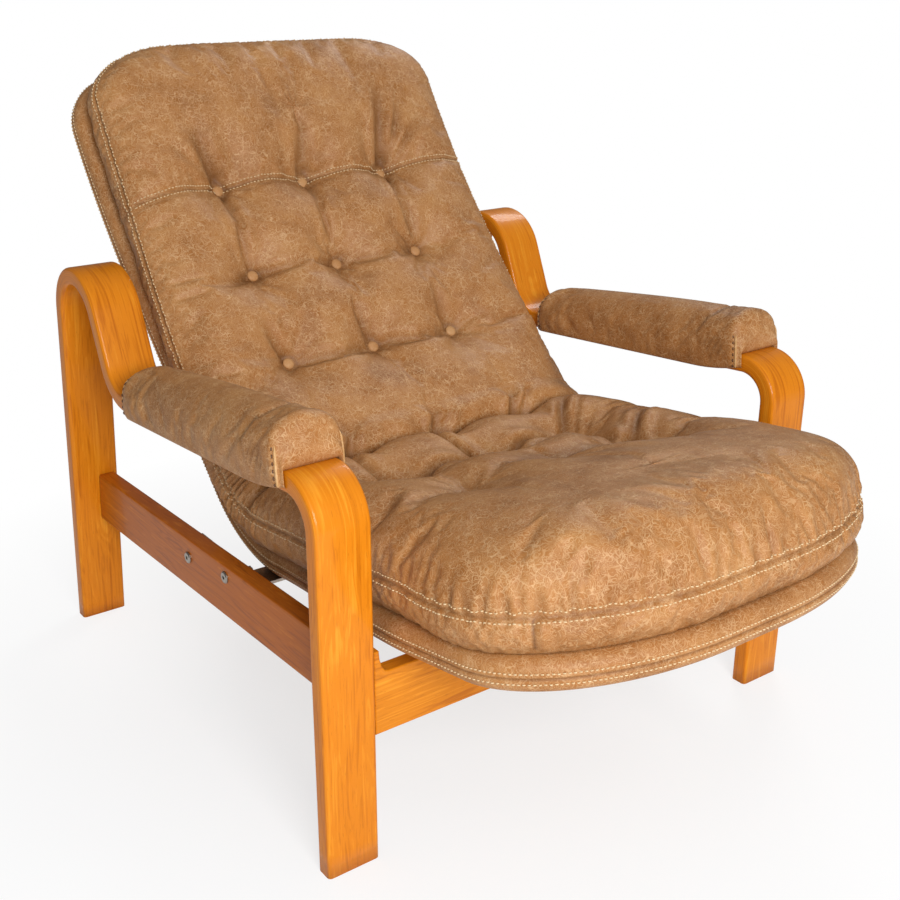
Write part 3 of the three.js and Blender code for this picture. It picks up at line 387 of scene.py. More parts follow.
def make_piece(name: str, points: np.ndarray, faces: Sequence[Sequence[int]],
    finish: bpy.types.Material, stands_for: Sequence[str] = (), weld: float = 0.0,
    marks: dict[str, np.ndarray] | None = None) -> bpy.types.Object:
    """Make one smooth shaded piece of the chair.

    Args:
        name: the piece's name.
        points: its points, in metres of the frame.
        faces: its faces.
        finish: its material.
        stands_for: the CAD nodes that it replaces.
        weld: distance in metres below which points are joined.
        marks: named values or vectors at the points, for the material.

    Returns:
        The piece, riding on the chair's one body.
    """
    mesh = bpy.data.meshes.new(name)
    mesh.from_pydata(np.asarray(points).tolist(), [], [list(map(int, f)) for f in faces])
    for key, values in (marks or {}).items():
        is_vector = np.ndim(values) == 2
        layer = mesh.attributes.new(key, "FLOAT_VECTOR" if is_vector else "FLOAT", "POINT")
        layer.data.foreach_set("vector" if is_vector else "value", np.ravel(values))
    if weld:
        work = bmesh.new()
        work.from_mesh(mesh)
        bmesh.ops.remove_doubles(work, verts=work.verts, dist=weld)
        bmesh.ops.recalc_face_normals(work, faces=work.faces)
        work.to_mesh(mesh)
        work.free()
    mesh.polygons.foreach_set("use_smooth", [True] * len(mesh.polygons))
    mesh.materials.append(finish)
    mesh.update()
    piece = bpy.data.objects.new(name, mesh)
    bpy.context.scene.collection.objects.link(piece)
    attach(piece, BODY)
    if stands_for:
        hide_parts(*stands_for)
    LOG.info("%s: %d points", name, len(mesh.vertices))
    return piece


# ------------------------------------------------------------------- finishes


class Grain(Enum):
    """Where a wooden piece's grain runs."""

    BENT = "grain"  # along the bent strip, from the piece's own marks
    DEEP = "deep"  # along Y, front to back
    WIDE = "wide"  # along X, side to side


@dataclass(frozen=True)
class LacqueredBeech:
    """Beech under clear gloss lacquer: honey wood with short dark flecks.

    The lacquer gives sharp highlights on the bends, and the flecks and the
    streaked figure keep the flats from looking like plastic.
    """

    name: str
    grain: Grain
    ground: str = "#d27b11"
    streak: str = "#b66207"
    pale: str = "#e09124"
    fleck: str = "#96500c"
    glue: str = "#a85c10"
    streak_pitch: float = 3.2  # mm across the grain
    fleck_width: float = 1.1  # real flecks are 0.3 mm, too fine to show
    ply: float = 3.0  # mm, each bent layer

    def make(self) -> bpy.types.Material:
        """Build the material."""
        material, node = blank(bpy.data.materials, self.name)
        if self.grain is Grain.BENT:
            place = node("Attribute", attribute_name=self.grain.value, out="Vector")
        else:
            turn = (0, 0, -math.pi / 2) if self.grain is Grain.DEEP else (0, 0, 0)
            flat = node("TexCoord", out="Object")
            place = node("Mapping", {"Vector": flat, "Rotation": turn})
        pitch = 1 / (self.streak_pitch * MM)
        figure_scale = (pitch / 60, pitch / 7, pitch / 7)
        figure = node("TexNoise", {"Vector": node("Mapping",
            {"Vector": place, "Scale": figure_scale}), "Scale": 1.0, "Detail": 3.0,
            "Distortion": 0.6})
        streaks = node("TexNoise", {"Vector": node("Mapping",
            {"Vector": place, "Scale": (pitch / 45, pitch, pitch)}), "Scale": 1.0, "Detail": 4.0,
            "Roughness": 0.6, "Distortion": 0.25})
        rings = node("Math", {0: node("Math", {0: figure, 1: 46.0}, operation="MULTIPLY")},
            operation="SINE")
        tone = node("Math", {0: rings, 1: 0.07, 2: node("Math",
            {0: streaks, 1: 0.62, 2: node("Math", {0: figure, 1: 0.38}, operation="MULTIPLY")},
            operation="MULTIPLY_ADD")}, operation="MULTIPLY_ADD")
        colour = node("ValToRGB", {"Fac": tone}, stops=[(0.30, linear(self.streak)),
            (0.47, linear(self.ground)), (0.56, linear(self.ground)), (0.72, linear(self.pale))])
        fleck = 1 / (self.fleck_width * MM)
        pores = node("TexNoise", {"Vector": node("Mapping",
            {"Vector": place, "Scale": (fleck / 9, fleck, fleck)}), "Scale": 1.0, "Detail": 1.0})
        pore = node("MapRange", {"Value": pores, "From Min": 0.66, "From Max": 0.76,
            "To Max": 0.4})
        colour = node("Mix", {0: pore, 6: colour, 7: linear(self.fleck)}, data_type="RGBA", out=2)
        if self.grain is Grain.BENT:
            depth = node("SeparateXYZ", {"Vector": place}, out="Z")
            layer = node("Math", {0: depth, 1: 1 / (self.ply * MM)}, operation="MULTIPLY")
            off_line = node("Math", {0: layer, 1: 0.5}, operation="PINGPONG")
            inside = node("Math", {0: node("Math", {0: depth}, operation="ABSOLUTE"), 1: 0.0112},
                operation="LESS_THAN")
            line = node("MapRange", {"Value": off_line, "From Min": 0.05, "From Max": 0.13,
                "To Min": 0.5, "To Max": 0.0})
            glued = node("Math", {0: line, 1: inside}, operation="MULTIPLY")
            colour = node("Mix", {0: glued, 6: colour, 7: linear(self.glue)}, data_type="RGBA",
                out=2)
        bump = node("Bump", {"Height": streaks, "Strength": 0.06, "Distance": 0.0006})
        rough = node("MapRange", {"Value": streaks, "To Min": 0.30, "To Max": 0.46})
        shader = node("BsdfPrincipled", {"Base Color": colour, "Roughness": rough, "Normal": bump,
            "Specular IOR Level": 0.15, "Coat Weight": 0.18, "Coat Roughness": 0.1})
        node("OutputMaterial", {"Surface": shader}, out=None)
        return material


@dataclass(frozen=True)
class AnilineLeather:
    """Thick tan hide, waxed and crumpled: pale hairline veins on cloudy brown.

    Waxed pull-up hide pales where it was crumpled: a net of fine light curls over
    darker clouds. Creases, seams and dimples are darkened as painted shade.
    """

    name: str
    ground: str = "#a06a37"
    cloud: str = "#8c5827"
    bloom: str = "#ae7a45"
    vein: str = "#d6b083"
    # painted shade: the colour that creases, seams and dimples are darkened towards
    fold: str = "#5a3516"
    cloud_size: float = 70.0  # mm
    nets: tuple[float, float] = (13.0, 8.0)  # mm, cells of the hairline nets
    vein_width: float = 0.7  # mm, real ones are 0.3 and would not show
    vein_share: float = 0.55
    whorl_size: float = 15.0  # mm
    whorl_turns: float = 88.0
    whorl_share: float = 0.36
    pebble: float = 1.8  # mm, grain of the hide

    def make(self) -> bpy.types.Material:
        """Build the material."""
        material, node = blank(bpy.data.materials, self.name)
        place = node("TexCoord", out="Object")
        cloudy = node("TexNoise", {"Vector": place, "Scale": 1 / (self.cloud_size * MM),
            "Detail": 6.0, "Roughness": 0.68})
        colour = node("ValToRGB", {"Fac": cloudy}, stops=[(0.32, linear(self.cloud)),
            (0.50, linear(self.ground)), (0.70, linear(self.bloom))])
        drift = node("TexNoise", {"Vector": place, "Scale": 1 / (self.nets[0] * 0.8 * MM),
            "Detail": 2.0}, out="Color")
        curly = node("VectorMath", {0: drift, 1: (0.9 * self.nets[0] * MM,) * 3, 2: place},
            operation="MULTIPLY_ADD")
        lines = []
        for cell, worn_scale in zip(self.nets, (48.0, 63.0)):
            edge = node("TexVoronoi", {"Vector": curly, "Scale": 1 / (cell * MM)},
                feature="DISTANCE_TO_EDGE")
            half = self.vein_width / cell / 2
            line = node("MapRange", {"Value": edge, "From Min": half * 0.4, "From Max": half * 1.5,
                "To Min": 1.0, "To Max": 0.0})
            worn = node("TexNoise", {"Vector": place, "Scale": worn_scale, "Detail": 2.0})
            patch = node("MapRange", {"Value": worn, "From Min": 0.42, "From Max": 0.6})
            lines.append(node("Math", {0: line, 1: patch}, operation="MULTIPLY"))
        nets = node("Math", {0: lines[0], 1: lines[1]}, operation="MAXIMUM")
        contour = node("TexNoise", {"Vector": place, "Scale": 1 / (self.whorl_size * MM),
            "Detail": 1.6, "Roughness": 0.6, "Distortion": 1.1})
        turns = node("Math", {0: contour, 1: self.whorl_turns}, operation="MULTIPLY")
        whorls = node("MapRange", {"Value": node("Math", {0: turns}, operation="SINE"),
            "From Min": 0.1, "From Max": 0.95, "To Max": self.whorl_share})
        veins = node("Math", {0: nets, 1: whorls}, operation="MAXIMUM")
        shown = node("Math", {0: node("Math", {0: nets, 1: self.vein_share}, operation="MULTIPLY"),
            1: whorls}, operation="MAXIMUM")
        colour = node("Mix", {0: shown, 6: colour, 7: linear(self.vein)}, data_type="RGBA", out=2)
        # Painted shade: darken towards the fold colour by each piece's fold mark.
        fold = node("Attribute", attribute_name="fold", out="Fac")
        colour = node("Mix", {0: fold, 6: colour, 7: linear(self.fold)}, data_type="RGBA", out=2)
        grain = node("TexVoronoi", {"Vector": curly, "Scale": 1 / (self.pebble * MM)})
        height = node("Math", {0: veins, 1: -0.6, 2: node("Math", {0: grain, 1: 0.6},
            operation="MULTIPLY")}, operation="MULTIPLY_ADD")
        bump = node("Bump", {"Height": height, "Strength": 0.45, "Distance": 0.0007})
        rough = node("MapRange", {"Value": cloudy, "From Min": 0.3, "From Max": 0.7,
            "To Min": 0.56, "To Max": 0.42})
        shader = node("BsdfPrincipled", {"Base Color": colour, "Roughness": rough, "Normal": bump,
            "Specular IOR Level": 0.28})
        node("OutputMaterial", {"Surface": shader}, out=None)
        return material


@dataclass(frozen=True)
class BondedThread:
    """Bonded nylon upholstery thread: cream, twisted, with a waxy shine."""

    name: str = "bonded_thread"
    colour: str = "#e3cba3"
    shade: str = "#bd9a6c"
    twist: float = 1.4  # mm between the turns of the ply

    def make(self) -> bpy.types.Material:
        """Build the material."""
        material, node = blank(bpy.data.materials, self.name)
        place = node("TexCoord", out="Object")
        turns = node("TexWave", {"Vector": place, "Scale": 0.3 / (self.twist * MM),
            "Distortion": 2.0}, bands_direction="DIAGONAL", out="Fac")
        colour = node("Mix", {0: turns, 6: linear(self.shade), 7: linear(self.colour)},
            data_type="RGBA", out=2)
        bump = node("Bump", {"Height": turns, "Strength": 0.3, "Distance": 0.0003})
        shader = node("BsdfPrincipled", {"Base Color": colour, "Roughness": 0.45, "Normal": bump})
        node("OutputMaterial", {"Surface": shader}, out=None)
        return material


@dataclass(frozen=True)
class ZincPlatedSteel:
    """Turned and pressed steel, bright zinc plated: soft grey with faint bloom."""

    name: str = "zinc_plated_steel"
    bright: str = "#c9c4ba"
    dull: str = "#948e84"
    spangle: float = 2.5  # mm

    def make(self) -> bpy.types.Material:
        """Build the material."""
        material, node = blank(bpy.data.materials, self.name)
        place = node("TexCoord", out="Object")
        bloom = node("TexNoise", {"Vector": place, "Scale": 1 / (self.spangle * MM),
            "Detail": 3.0})
        colour = node("Mix", {0: bloom, 6: linear(self.dull), 7: linear(self.bright)},
            data_type="RGBA", out=2)
        rough = node("MapRange", {"Value": bloom, "To Min": 0.42, "To Max": 0.28})
        shader = node("BsdfPrincipled", {"Base Color": colour, "Roughness": rough,
            "Metallic": 1.0})
        node("OutputMaterial", {"Surface": shader}, out=None)
        return material


@dataclass(frozen=True)
class PaperSweep:
    """White studio floor: it keeps the chair's shadow and fades to plain white."""

    name: str = "paper_sweep"
    colour: str = "#f6f6f6"
    reach: float = 1.0  # metres from the chair's middle to plain white
    lift: float = 0.68  # share of plain white under the chair

    def make(self) -> bpy.types.Material:
        """Build the material."""
        material, node = blank(bpy.data.materials, self.name)
        place = node("TexCoord", out="Object")
        away = node("VectorMath", {0: place}, operation="LENGTH", out="Value")
        fade = node("MapRange", {"Value": away, "From Min": 0.3, "From Max": self.reach,
            "To Min": self.lift})
        rays = node("LightPath", out=None).outputs
        seen = node("Math", {0: rays["Is Camera Ray"], 1: rays["Is Transmission Ray"]},
            operation="MAXIMUM")
        share = node("Math", {0: fade, 1: seen}, operation="MULTIPLY")
        paper = node("BsdfPrincipled", {"Base Color": linear(self.colour), "Roughness": 0.9,
            "Specular IOR Level": 0.0})
        white = node("Emission", {"Color": (1, 1, 1, 1), "Strength": 1.0})
        mixed = node("MixShader", {0: share, 1: paper, 2: white})
        node("OutputMaterial", {"Surface": mixed}, out=None)
        return material


@dataclass(frozen=True)
class Finishes:
    """The chair's materials, made once."""

    strip: bpy.types.Material
    rail_deep_shaded: bpy.types.Material
    rail_wide: bpy.types.Material
    dowel: bpy.types.Material
    leather: bpy.types.Material
    button: bpy.types.Material
    thread: bpy.types.Material
    slit_thread: bpy.types.Material
    edge: bpy.types.Material
    steel: bpy.types.Material
    ply: bpy.types.Material

    @classmethod
    def make(cls) -> "Finishes":
        """Build every material of the chair."""
        looks = {
            "strip": LacqueredBeech("lacquered_bent_beech", Grain.BENT),
            # Painted shade: a darker copy of the beech for the side rails, which sit in shade
            # under the seat.
            "rail_deep_shaded": LacqueredBeech("lacquered_rail_beech_deep_shaded", Grain.DEEP,
                ground="#b4600f", streak="#934a08", pale="#c8751d"),
            "rail_wide": LacqueredBeech("lacquered_rail_beech_wide", Grain.WIDE,
                ground="#cc7a14", streak="#ae5f0c"),
            "dowel": LacqueredBeech("turned_beech_dowel", Grain.WIDE,
                ground="#d8b483", streak="#c09664", pale="#e6c99d"),
            "leather": AnilineLeather("waxed_aniline_leather"),
            "button": AnilineLeather("button_aniline_leather", ground="#b98655",
                cloud="#a97644", bloom="#c39664", vein_share=0.3, whorl_share=0.2),
            "thread": BondedThread(),
            "slit_thread": BondedThread("waxed_brown_thread", colour="#6b4526", shade="#4a2c15"),
            "edge": AnilineLeather("raw_leather_edge", ground="#bf9460", cloud="#ad8250",
                bloom="#cda776", whorl_share=0.1),
            "steel": ZincPlatedSteel(),
            "ply": LacqueredBeech("moulded_beech_ply", Grain.WIDE,
                ground="#c9a06c", streak="#a98150", pale="#dcb987"),
        }
        return cls(**{use: look.make() for use, look in looks.items()})


# ---------------------------------------------------------------- side frames


@dataclass
class BentFrames:
    """Both side frames: one laminated strip each, bent from foot to foot."""

    datum: Datum
    finishes: Finishes
    width: float = 68.0
    thickness: float = 24.0
    edge_round: float = 5.0
    overall_width: float = 760.0
    arm_top: float = 479.0
    front_radius: float = 46.0
    arm_fall: float = math.radians(4.9)
    arm_run: float = 428.0
    rise_radius: float = 57.0
    rise_angle: float = math.radians(67.0)
    rise_run: float = 70.0
    peak_radius: float = 64.7
    rake: float = math.radians(6.45)
    grain_shift: float = 630.0  # along the grain, so that the frames differ
    arm_start: tuple[float, float] = (0.0, 0.0)

    def walk(self) -> np.ndarray:
        """Walk the strip's middle line from the front foot to the rear foot.

        Returns:
            Rows of y, z, heading and distance walked.
        """
        y, z, heading, walked = self.thickness / 2, 0.0, math.pi / 2, 0.0
        marks = [(y, z, heading, walked)]

        def straight(run: float, pieces: int) -> None:
            nonlocal y, z, walked
            for _ in range(pieces):
                y += run / pieces * math.cos(heading)
                z += run / pieces * math.sin(heading)
                walked += run / pieces
                marks.append((y, z, heading, walked))

        def bend(radius: float, turn: float) -> None:
            nonlocal y, z, heading, walked
            side = math.copysign(1, turn)
            pieces = max(8, round(abs(math.degrees(turn)) / 2.5))
            centre = (y - side * radius * math.sin(heading), z + side * radius * math.cos(heading))
            for _ in range(pieces):
                heading += turn / pieces
                walked += radius * abs(turn) / pieces
                y = centre[0] + side * radius * math.sin(heading)
                z = centre[1] - side * radius * math.cos(heading)
                marks.append((y, z, heading, walked))

        straight(self.arm_top - self.front_radius - self.thickness / 2, 14)
        bend(self.front_radius, -(math.pi / 2 + self.arm_fall))
        self.arm_start = (y, z)
        straight(self.arm_run, 16)
        bend(self.rise_radius, self.arm_fall + self.rise_angle)
        straight(self.rise_run, 4)
        bend(self.peak_radius, -(math.pi / 2 + self.rise_angle - self.rake))
        straight(z / math.cos(self.rake), 20)
        return np.array(marks)

    def section(self) -> np.ndarray:
        """Rounded section as pairs of across and depth, anticlockwise."""
        half_wide = self.width / 2 - self.edge_round
        half_deep = self.thickness / 2 - self.edge_round
        points = []
        for sign_x, sign_d, start in ((1, -1, -90), (1, 1, 0), (-1, 1, 90), (-1, -1, 180)):
            for i in range(7):
                turn = math.radians(start + 15 * i)
                points.append((sign_x * half_wide + self.edge_round * math.cos(turn),
                    sign_d * half_deep + self.edge_round * math.sin(turn)))
        return np.array(points)

    def build(self) -> None:
        """Sweep the section along the walk on both sides."""
        marks = self.walk()
        section = self.section()
        across, depth = section[:, 0], section[:, 1]
        for side, sign in SIDES:
            centre = sign * (self.overall_width - self.width) / 2
            rows, grain = [], []
            for index, (y, z, heading, walked) in enumerate(marks):
                row = np.stack([centre + across, y - depth * math.sin(heading),
                    z + depth * math.cos(heading)], -1)
                if index == len(marks) - 1:
                    row[:, 1] += row[:, 2] * math.tan(self.rake)
                    row[:, 2] = 0
                rows.append(row)
                along = walked + (self.grain_shift if sign > 0 else 0.0)
                grain.append(np.stack([np.full(len(section), along), across, depth], -1) * MM)
            points = np.concatenate(rows)
            count = len(section)
            faces = grid_faces(len(rows), count, True).tolist()
            faces.append(list(range(count))[::-1])
            faces.append(list(range((len(rows) - 1) * count, len(rows) * count)))
            piece = make_piece(f"bent_frame_{side}", self.datum.room(points), faces,
                self.finishes.strip, [f"side_frame_{side}"],
                marks={"grain": np.concatenate(grain)})
            for polygon in piece.data.polygons:
                if len(polygon.vertices) > 4:
                    polygon.use_smooth = False


@dataclass
class Boards:
    """Rails and fittings whose solids are right: copied, smoothed and dressed."""

    finishes: Finishes
    nodes: dict[str, bpy.types.Object]
    sharp_angle: float = math.radians(38)

    def smoothed(self, node: str, name: str, finish: bpy.types.Material) -> bpy.types.Object:
        """Copy a CAD node as a piece with rounded shading.

        Args:
            node: the CAD node's name.
            name: the new piece's name.
            finish: its material.

        Returns:
            The piece.
        """
        mesh = self.nodes[node].data.copy()
        mesh.name = name
        work = bmesh.new()
        work.from_mesh(mesh)
        bmesh.ops.remove_doubles(work, verts=work.verts, dist=1e-5)
        for edge in work.edges:
            edge.smooth = edge.calc_face_angle(0.0) < self.sharp_angle
        for face in work.faces:
            face.smooth = True
        work.to_mesh(mesh)
        work.free()
        mesh.materials.clear()
        mesh.materials.append(finish)
        piece = bpy.data.objects.new(name, mesh)
        bpy.context.scene.collection.objects.link(piece)
        weighted = piece.modifiers.new("flat_faces_stay_flat", "WEIGHTED_NORMAL")
        weighted.keep_sharp = True
        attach(piece, BODY)
        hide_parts(node)
        LOG.info("%s: copied from %s", name, node)
        return piece

    def build(self) -> None:
        """Dress the rails, bolts, brackets, dowels and the moulded core."""
        for side, _ in SIDES:
            self.smoothed(f"side_rail_{side}", f"beech_side_rail_{side}", self.finishes.rail_deep_shaded)
        for place in ("front", "back"):
            self.smoothed(f"{place}_cross_rail", f"beech_{place}_rail", self.finishes.rail_wide)
        kinds = {"dowel": self.finishes.dowel, "bolt": self.finishes.steel,
            "nut": self.finishes.steel, "screw": self.finishes.steel,
            "bracket": self.finishes.steel, "core": self.finishes.ply}
        for node, solid in self.nodes.items():
            for word, finish in kinds.items():
                if word in node:
                    for place in solid.material_slots:
                        place.material = finish


# ------------------------------------------------------------ shell and cushion


@dataclass(frozen=True)
class SeatLine:
    """The shell's underside seen from the side: seat, hip bend and long back."""

    front_height: float
    overhang: float = 265.0
    fall: float = math.radians(7.9)
    seat_run: float = 555.5
    hip_radius: float = 205.0
    hip_turn: float = math.radians(52.9)
    back_radius: float = 2550.0
    back_run: float = 642.0

    @property
    def hip_end(self) -> float:
        """Station where the hip bend ends."""
        return self.seat_run + self.hip_radius * self.hip_turn

    @property
    def length(self) -> float:
        """Station of the shell's head end."""
        return self.hip_end + self.back_run

    @classmethod
    def under(cls, lowest: float) -> "SeatLine":
        """Make the line whose lowest point is at a height in millimetres."""
        drop = cls.seat_run * math.sin(cls.fall) + cls.hip_radius * (1 - math.cos(cls.fall))
        return cls(front_height=lowest + drop)

    def at(self, s: np.ndarray) -> tuple[np.ndarray, np.ndarray, np.ndarray]:
        """Find the line at stations.

        Args:
            s: distances along the line from the front rim.

        Returns:
            y, z and tangent angle.
        """
        flat = np.minimum(s, self.seat_run)
        y = -self.overhang + flat * math.cos(self.fall)
        z = self.front_height - flat * math.sin(self.fall)
        angle = np.full_like(s, -self.fall, dtype=float)
        hip = np.clip((s - self.seat_run) / self.hip_radius, 0, self.hip_turn)
        back = np.maximum(s - self.hip_end, 0) / self.back_radius
        for radius, turn in ((self.hip_radius, hip), (self.back_radius, back)):
            y = y + radius * (np.sin(angle + turn) - np.sin(angle))
            z = z - radius * (np.cos(angle + turn) - np.cos(angle))
            angle = angle + turn
        return y, z, angle

    def carry(self, x: np.ndarray, s: np.ndarray, n: np.ndarray) -> np.ndarray:
        """Carry flat places onto the line: x across, s along, n out of it."""
        y, z, angle = self.at(s)
        return np.stack([x, y - n * np.sin(angle), z + n * np.cos(angle)], -1)


@dataclass(frozen=True)
class PlanOutline:
    """A rounded plan, unrolled along the seat line, as one closed loop."""

    half_width: float
    flares: tuple[tuple[float, float], ...]
    length: float
    front_depth: float
    front_reach: float
    head_depth: float
    head_reach: float

    def width(self, s: np.ndarray) -> np.ndarray:
        """Half width at stations."""
        front = 1 - np.clip(s / self.front_depth, 0, 1)
        head = 1 - np.clip((self.length - s) / self.head_depth, 0, 1)
        return (self.half_width + eased(self.flares, s) - self.front_reach
            * (1 - np.sqrt(1 - front**2)) - self.head_reach * (1 - np.sqrt(1 - head**2)))

    def loop(self, spacing: float) -> tuple[np.ndarray, np.ndarray]:
        """Walk the outline at even steps.

        Args:
            spacing: millimetres between points.

        Returns:
            Points as x and s, and the outward directions, both from the front
            middle round the left side, the head and the right side.
        """
        turn = np.linspace(0, math.pi / 2, 80)
        s = np.concatenate([self.front_depth * (1 - np.cos(turn)),
            np.linspace(self.front_depth, self.length - self.head_depth, 400)[1:-1],
            self.length - self.head_depth * (1 - np.cos(turn[::-1]))])
        edge = np.stack([self.width(s), s], -1)
        front = np.stack([np.linspace(0, edge[0, 0], 60)[:-1], np.zeros(59)], -1)
        head = np.stack([np.linspace(edge[-1, 0], 0, 60)[1:], np.full(59, self.length)], -1)
        half = np.concatenate([front, edge, head])
        walked = walk_along(half)
        count = int(round(walked[-1] / spacing))
        even = np.linspace(0, walked[-1], count + 1)
        left = resampled(half, walked, even)
        right = left[-2:0:-1] * [-1, 1]
        points = np.concatenate([left, right])
        along = unit(np.roll(points, -1, 0) - np.roll(points, 1, 0))
        return points, np.stack([along[:, 1], -along[:, 0]], -1)


@dataclass
class ShellCover:
    """The leather cover of the moulded shell, with a twin-stitched seam round its rim."""

    datum: Datum
    finishes: Finishes
    line: SeatLine
    half_width: float = 295.0
    thickness: float = 40.0
    rim_round: float = 16.0
    flare: float = -6.0
    waist: float = 18.0
    front_depth: float = 150.0
    front_reach: float = 250.0
    head_corner: float = 78.0
    seam_heights: tuple[float, ...] = (18.5,)
    seam_depth: float = 1.6
    seam_width: float = 1.3
    stitch_gap: float = 5.6

    def outline(self) -> PlanOutline:
        """The shell's plan."""
        return PlanOutline(self.half_width, ((self.line.overhang / 2, self.flare),
            (self.line.overhang, 0.0), (self.line.seat_run, -self.waist),
            (self.line.hip_end, -self.waist), (self.line.length - self.head_corner, 0.0)),
            self.line.length, self.front_depth, self.front_reach, self.head_corner,
            self.head_corner)

    def rim(self) -> np.ndarray:
        """Rim section as pairs of inset and height, from below to above."""
        path = []
        for i in range(13):
            turn = math.radians(-90 + 180 * i / 12)
            low = self.rim_round if turn < 0 else self.thickness - self.rim_round
            if i == 6:
                path.append((0.0, self.rim_round))
                path.append((0.0, self.thickness / 2))
            path.append((self.rim_round * (1 - math.cos(turn)),
                low + self.rim_round * math.sin(turn)))
        path = np.array(path)
        walked = walk_along(path)
        return resampled(path, walked, np.linspace(0, walked[-1], 56))

    def rim_path(self, height: float) -> tuple[np.ndarray, np.ndarray]:
        """A line round the rim at a height above the shell's underside.

        Args:
            height: millimetres.

        Returns:
            The line's points and directions out of the leather.
        """
        plan, out = self.outline().loop(6.0)
        over = max(self.rim_round - height, height - self.thickness + self.rim_round, 0.0)
        lean = math.asin(min(over / self.rim_round, 1.0))
        inset = self.rim_round * (1 - math.cos(lean))
        rise = math.sin(lean) * (1 if height > self.thickness / 2 else -1)
        ends = []
        for step in (0.0, 1.0):
            flat = plan - out * (inset - step * math.cos(lean))
            level = np.full(len(plan), height + step * rise)
            ends.append(self.line.carry(flat[:, 0], flat[:, 1], level))
        return ends[0], unit(ends[1] - ends[0])

    def build(self) -> bpy.types.Object:
        """Make the cover round the shell."""
        plan, out = self.outline().loop(6.0)
        spine_low, spine_high = 150.0, self.line.length - 120.0
        spine = np.stack([np.zeros(len(plan)), np.clip(plan[:, 1], spine_low, spine_high)], -1)
        rim = self.rim()
        rows, folds = [], []
        shares = 1 - np.linspace(1, 0, 34) ** 1.25

        def lay(flat: np.ndarray, height: float, fold: float) -> None:
            rows.append(self.line.carry(flat[:, 0], flat[:, 1], np.full(len(plan), height)))
            folds.append(np.full(len(plan), fold))

        inner = plan - out * self.rim_round
        for share in shares[::-1][:-1]:
            lay(inner * (1 - share) + spine * share, 0.0, 0.0)
        for inset, height in rim:
            groove = sum(bell(np.array(height - level), self.seam_width)
                for level in self.seam_heights)
            # Painted shade: the seam groove is darkened through the fold mark.
            lay(plan - out * (inset + self.seam_depth * groove), height, 0.55 * float(groove))
        for share in shares[1:]:
            lay(inner * (1 - share) + spine * share, self.thickness, 0.0)
        points = self.datum.room(np.concatenate(rows))
        faces = grid_faces(len(rows), len(plan), True)
        cover = make_piece("shell_leather_cover", points, faces, self.finishes.leather,
            ["shell_back_upholstery", "shell_front_upholstery"], weld=2e-5,
            marks={"fold": np.concatenate(folds)})
        return cover


@dataclass
class Crease:
    """A fold pressed into the cushion along a bowed line."""

    start: tuple[float, float]
    end: tuple[float, float]
    bow: float = 0.0
    depth: float = 5.0
    width: float = 7.0
    fade_start: float = 0.0
    fade_end: float = 0.6

    def press(self, x: np.ndarray, s: np.ndarray) -> np.ndarray:
        """How deep the fold is at flat places of the cushion."""
        a, b = np.array(self.start), np.array(self.end)
        along = b - a
        reach = float(np.linalg.norm(along))
        side = np.array([-along[1], along[0]]) / reach
        t = np.linspace(0, 1, 15)
        line = a + np.outer(t, along) + np.outer(4 * t * (1 - t) * self.bow, side)
        near = ((x > line[:, 0].min() - 4 * self.width) & (x < line[:, 0].max() + 4 * self.width)
            & (s > line[:, 1].min() - 4 * self.width) & (s < line[:, 1].max() + 4 * self.width))
        pressed = np.zeros_like(x)
        if not near.any():
            return pressed
        places = np.stack([x[near], s[near]], -1)
        best = np.full(len(places), 1e9)
        share = np.zeros(len(places))
        for i in range(14):
            leg = line[i + 1] - line[i]
            along_leg = np.clip(((places - line[i]) @ leg) / (leg @ leg), 0, 1)
            away = np.linalg.norm(places - line[i] - along_leg[:, None] * leg, axis=1)
            closer = away < best
            best = np.where(closer, away, best)
            share = np.where(closer, (i + along_leg) / 14, share)
        taper = np.minimum(np.clip(share / max(self.fade_start, 1e-3), 0, 1),
            np.clip((1 - share) / max(self.fade_end, 1e-3), 0, 1))
        taper = taper * taper * (3 - 2 * taper)
        valley = bell(best, self.width)
        ridge = 0.35 * bell(best - 2.1 * self.width, self.width)
        pressed[near] = self.depth * taper * (valley - ridge)
        return pressed


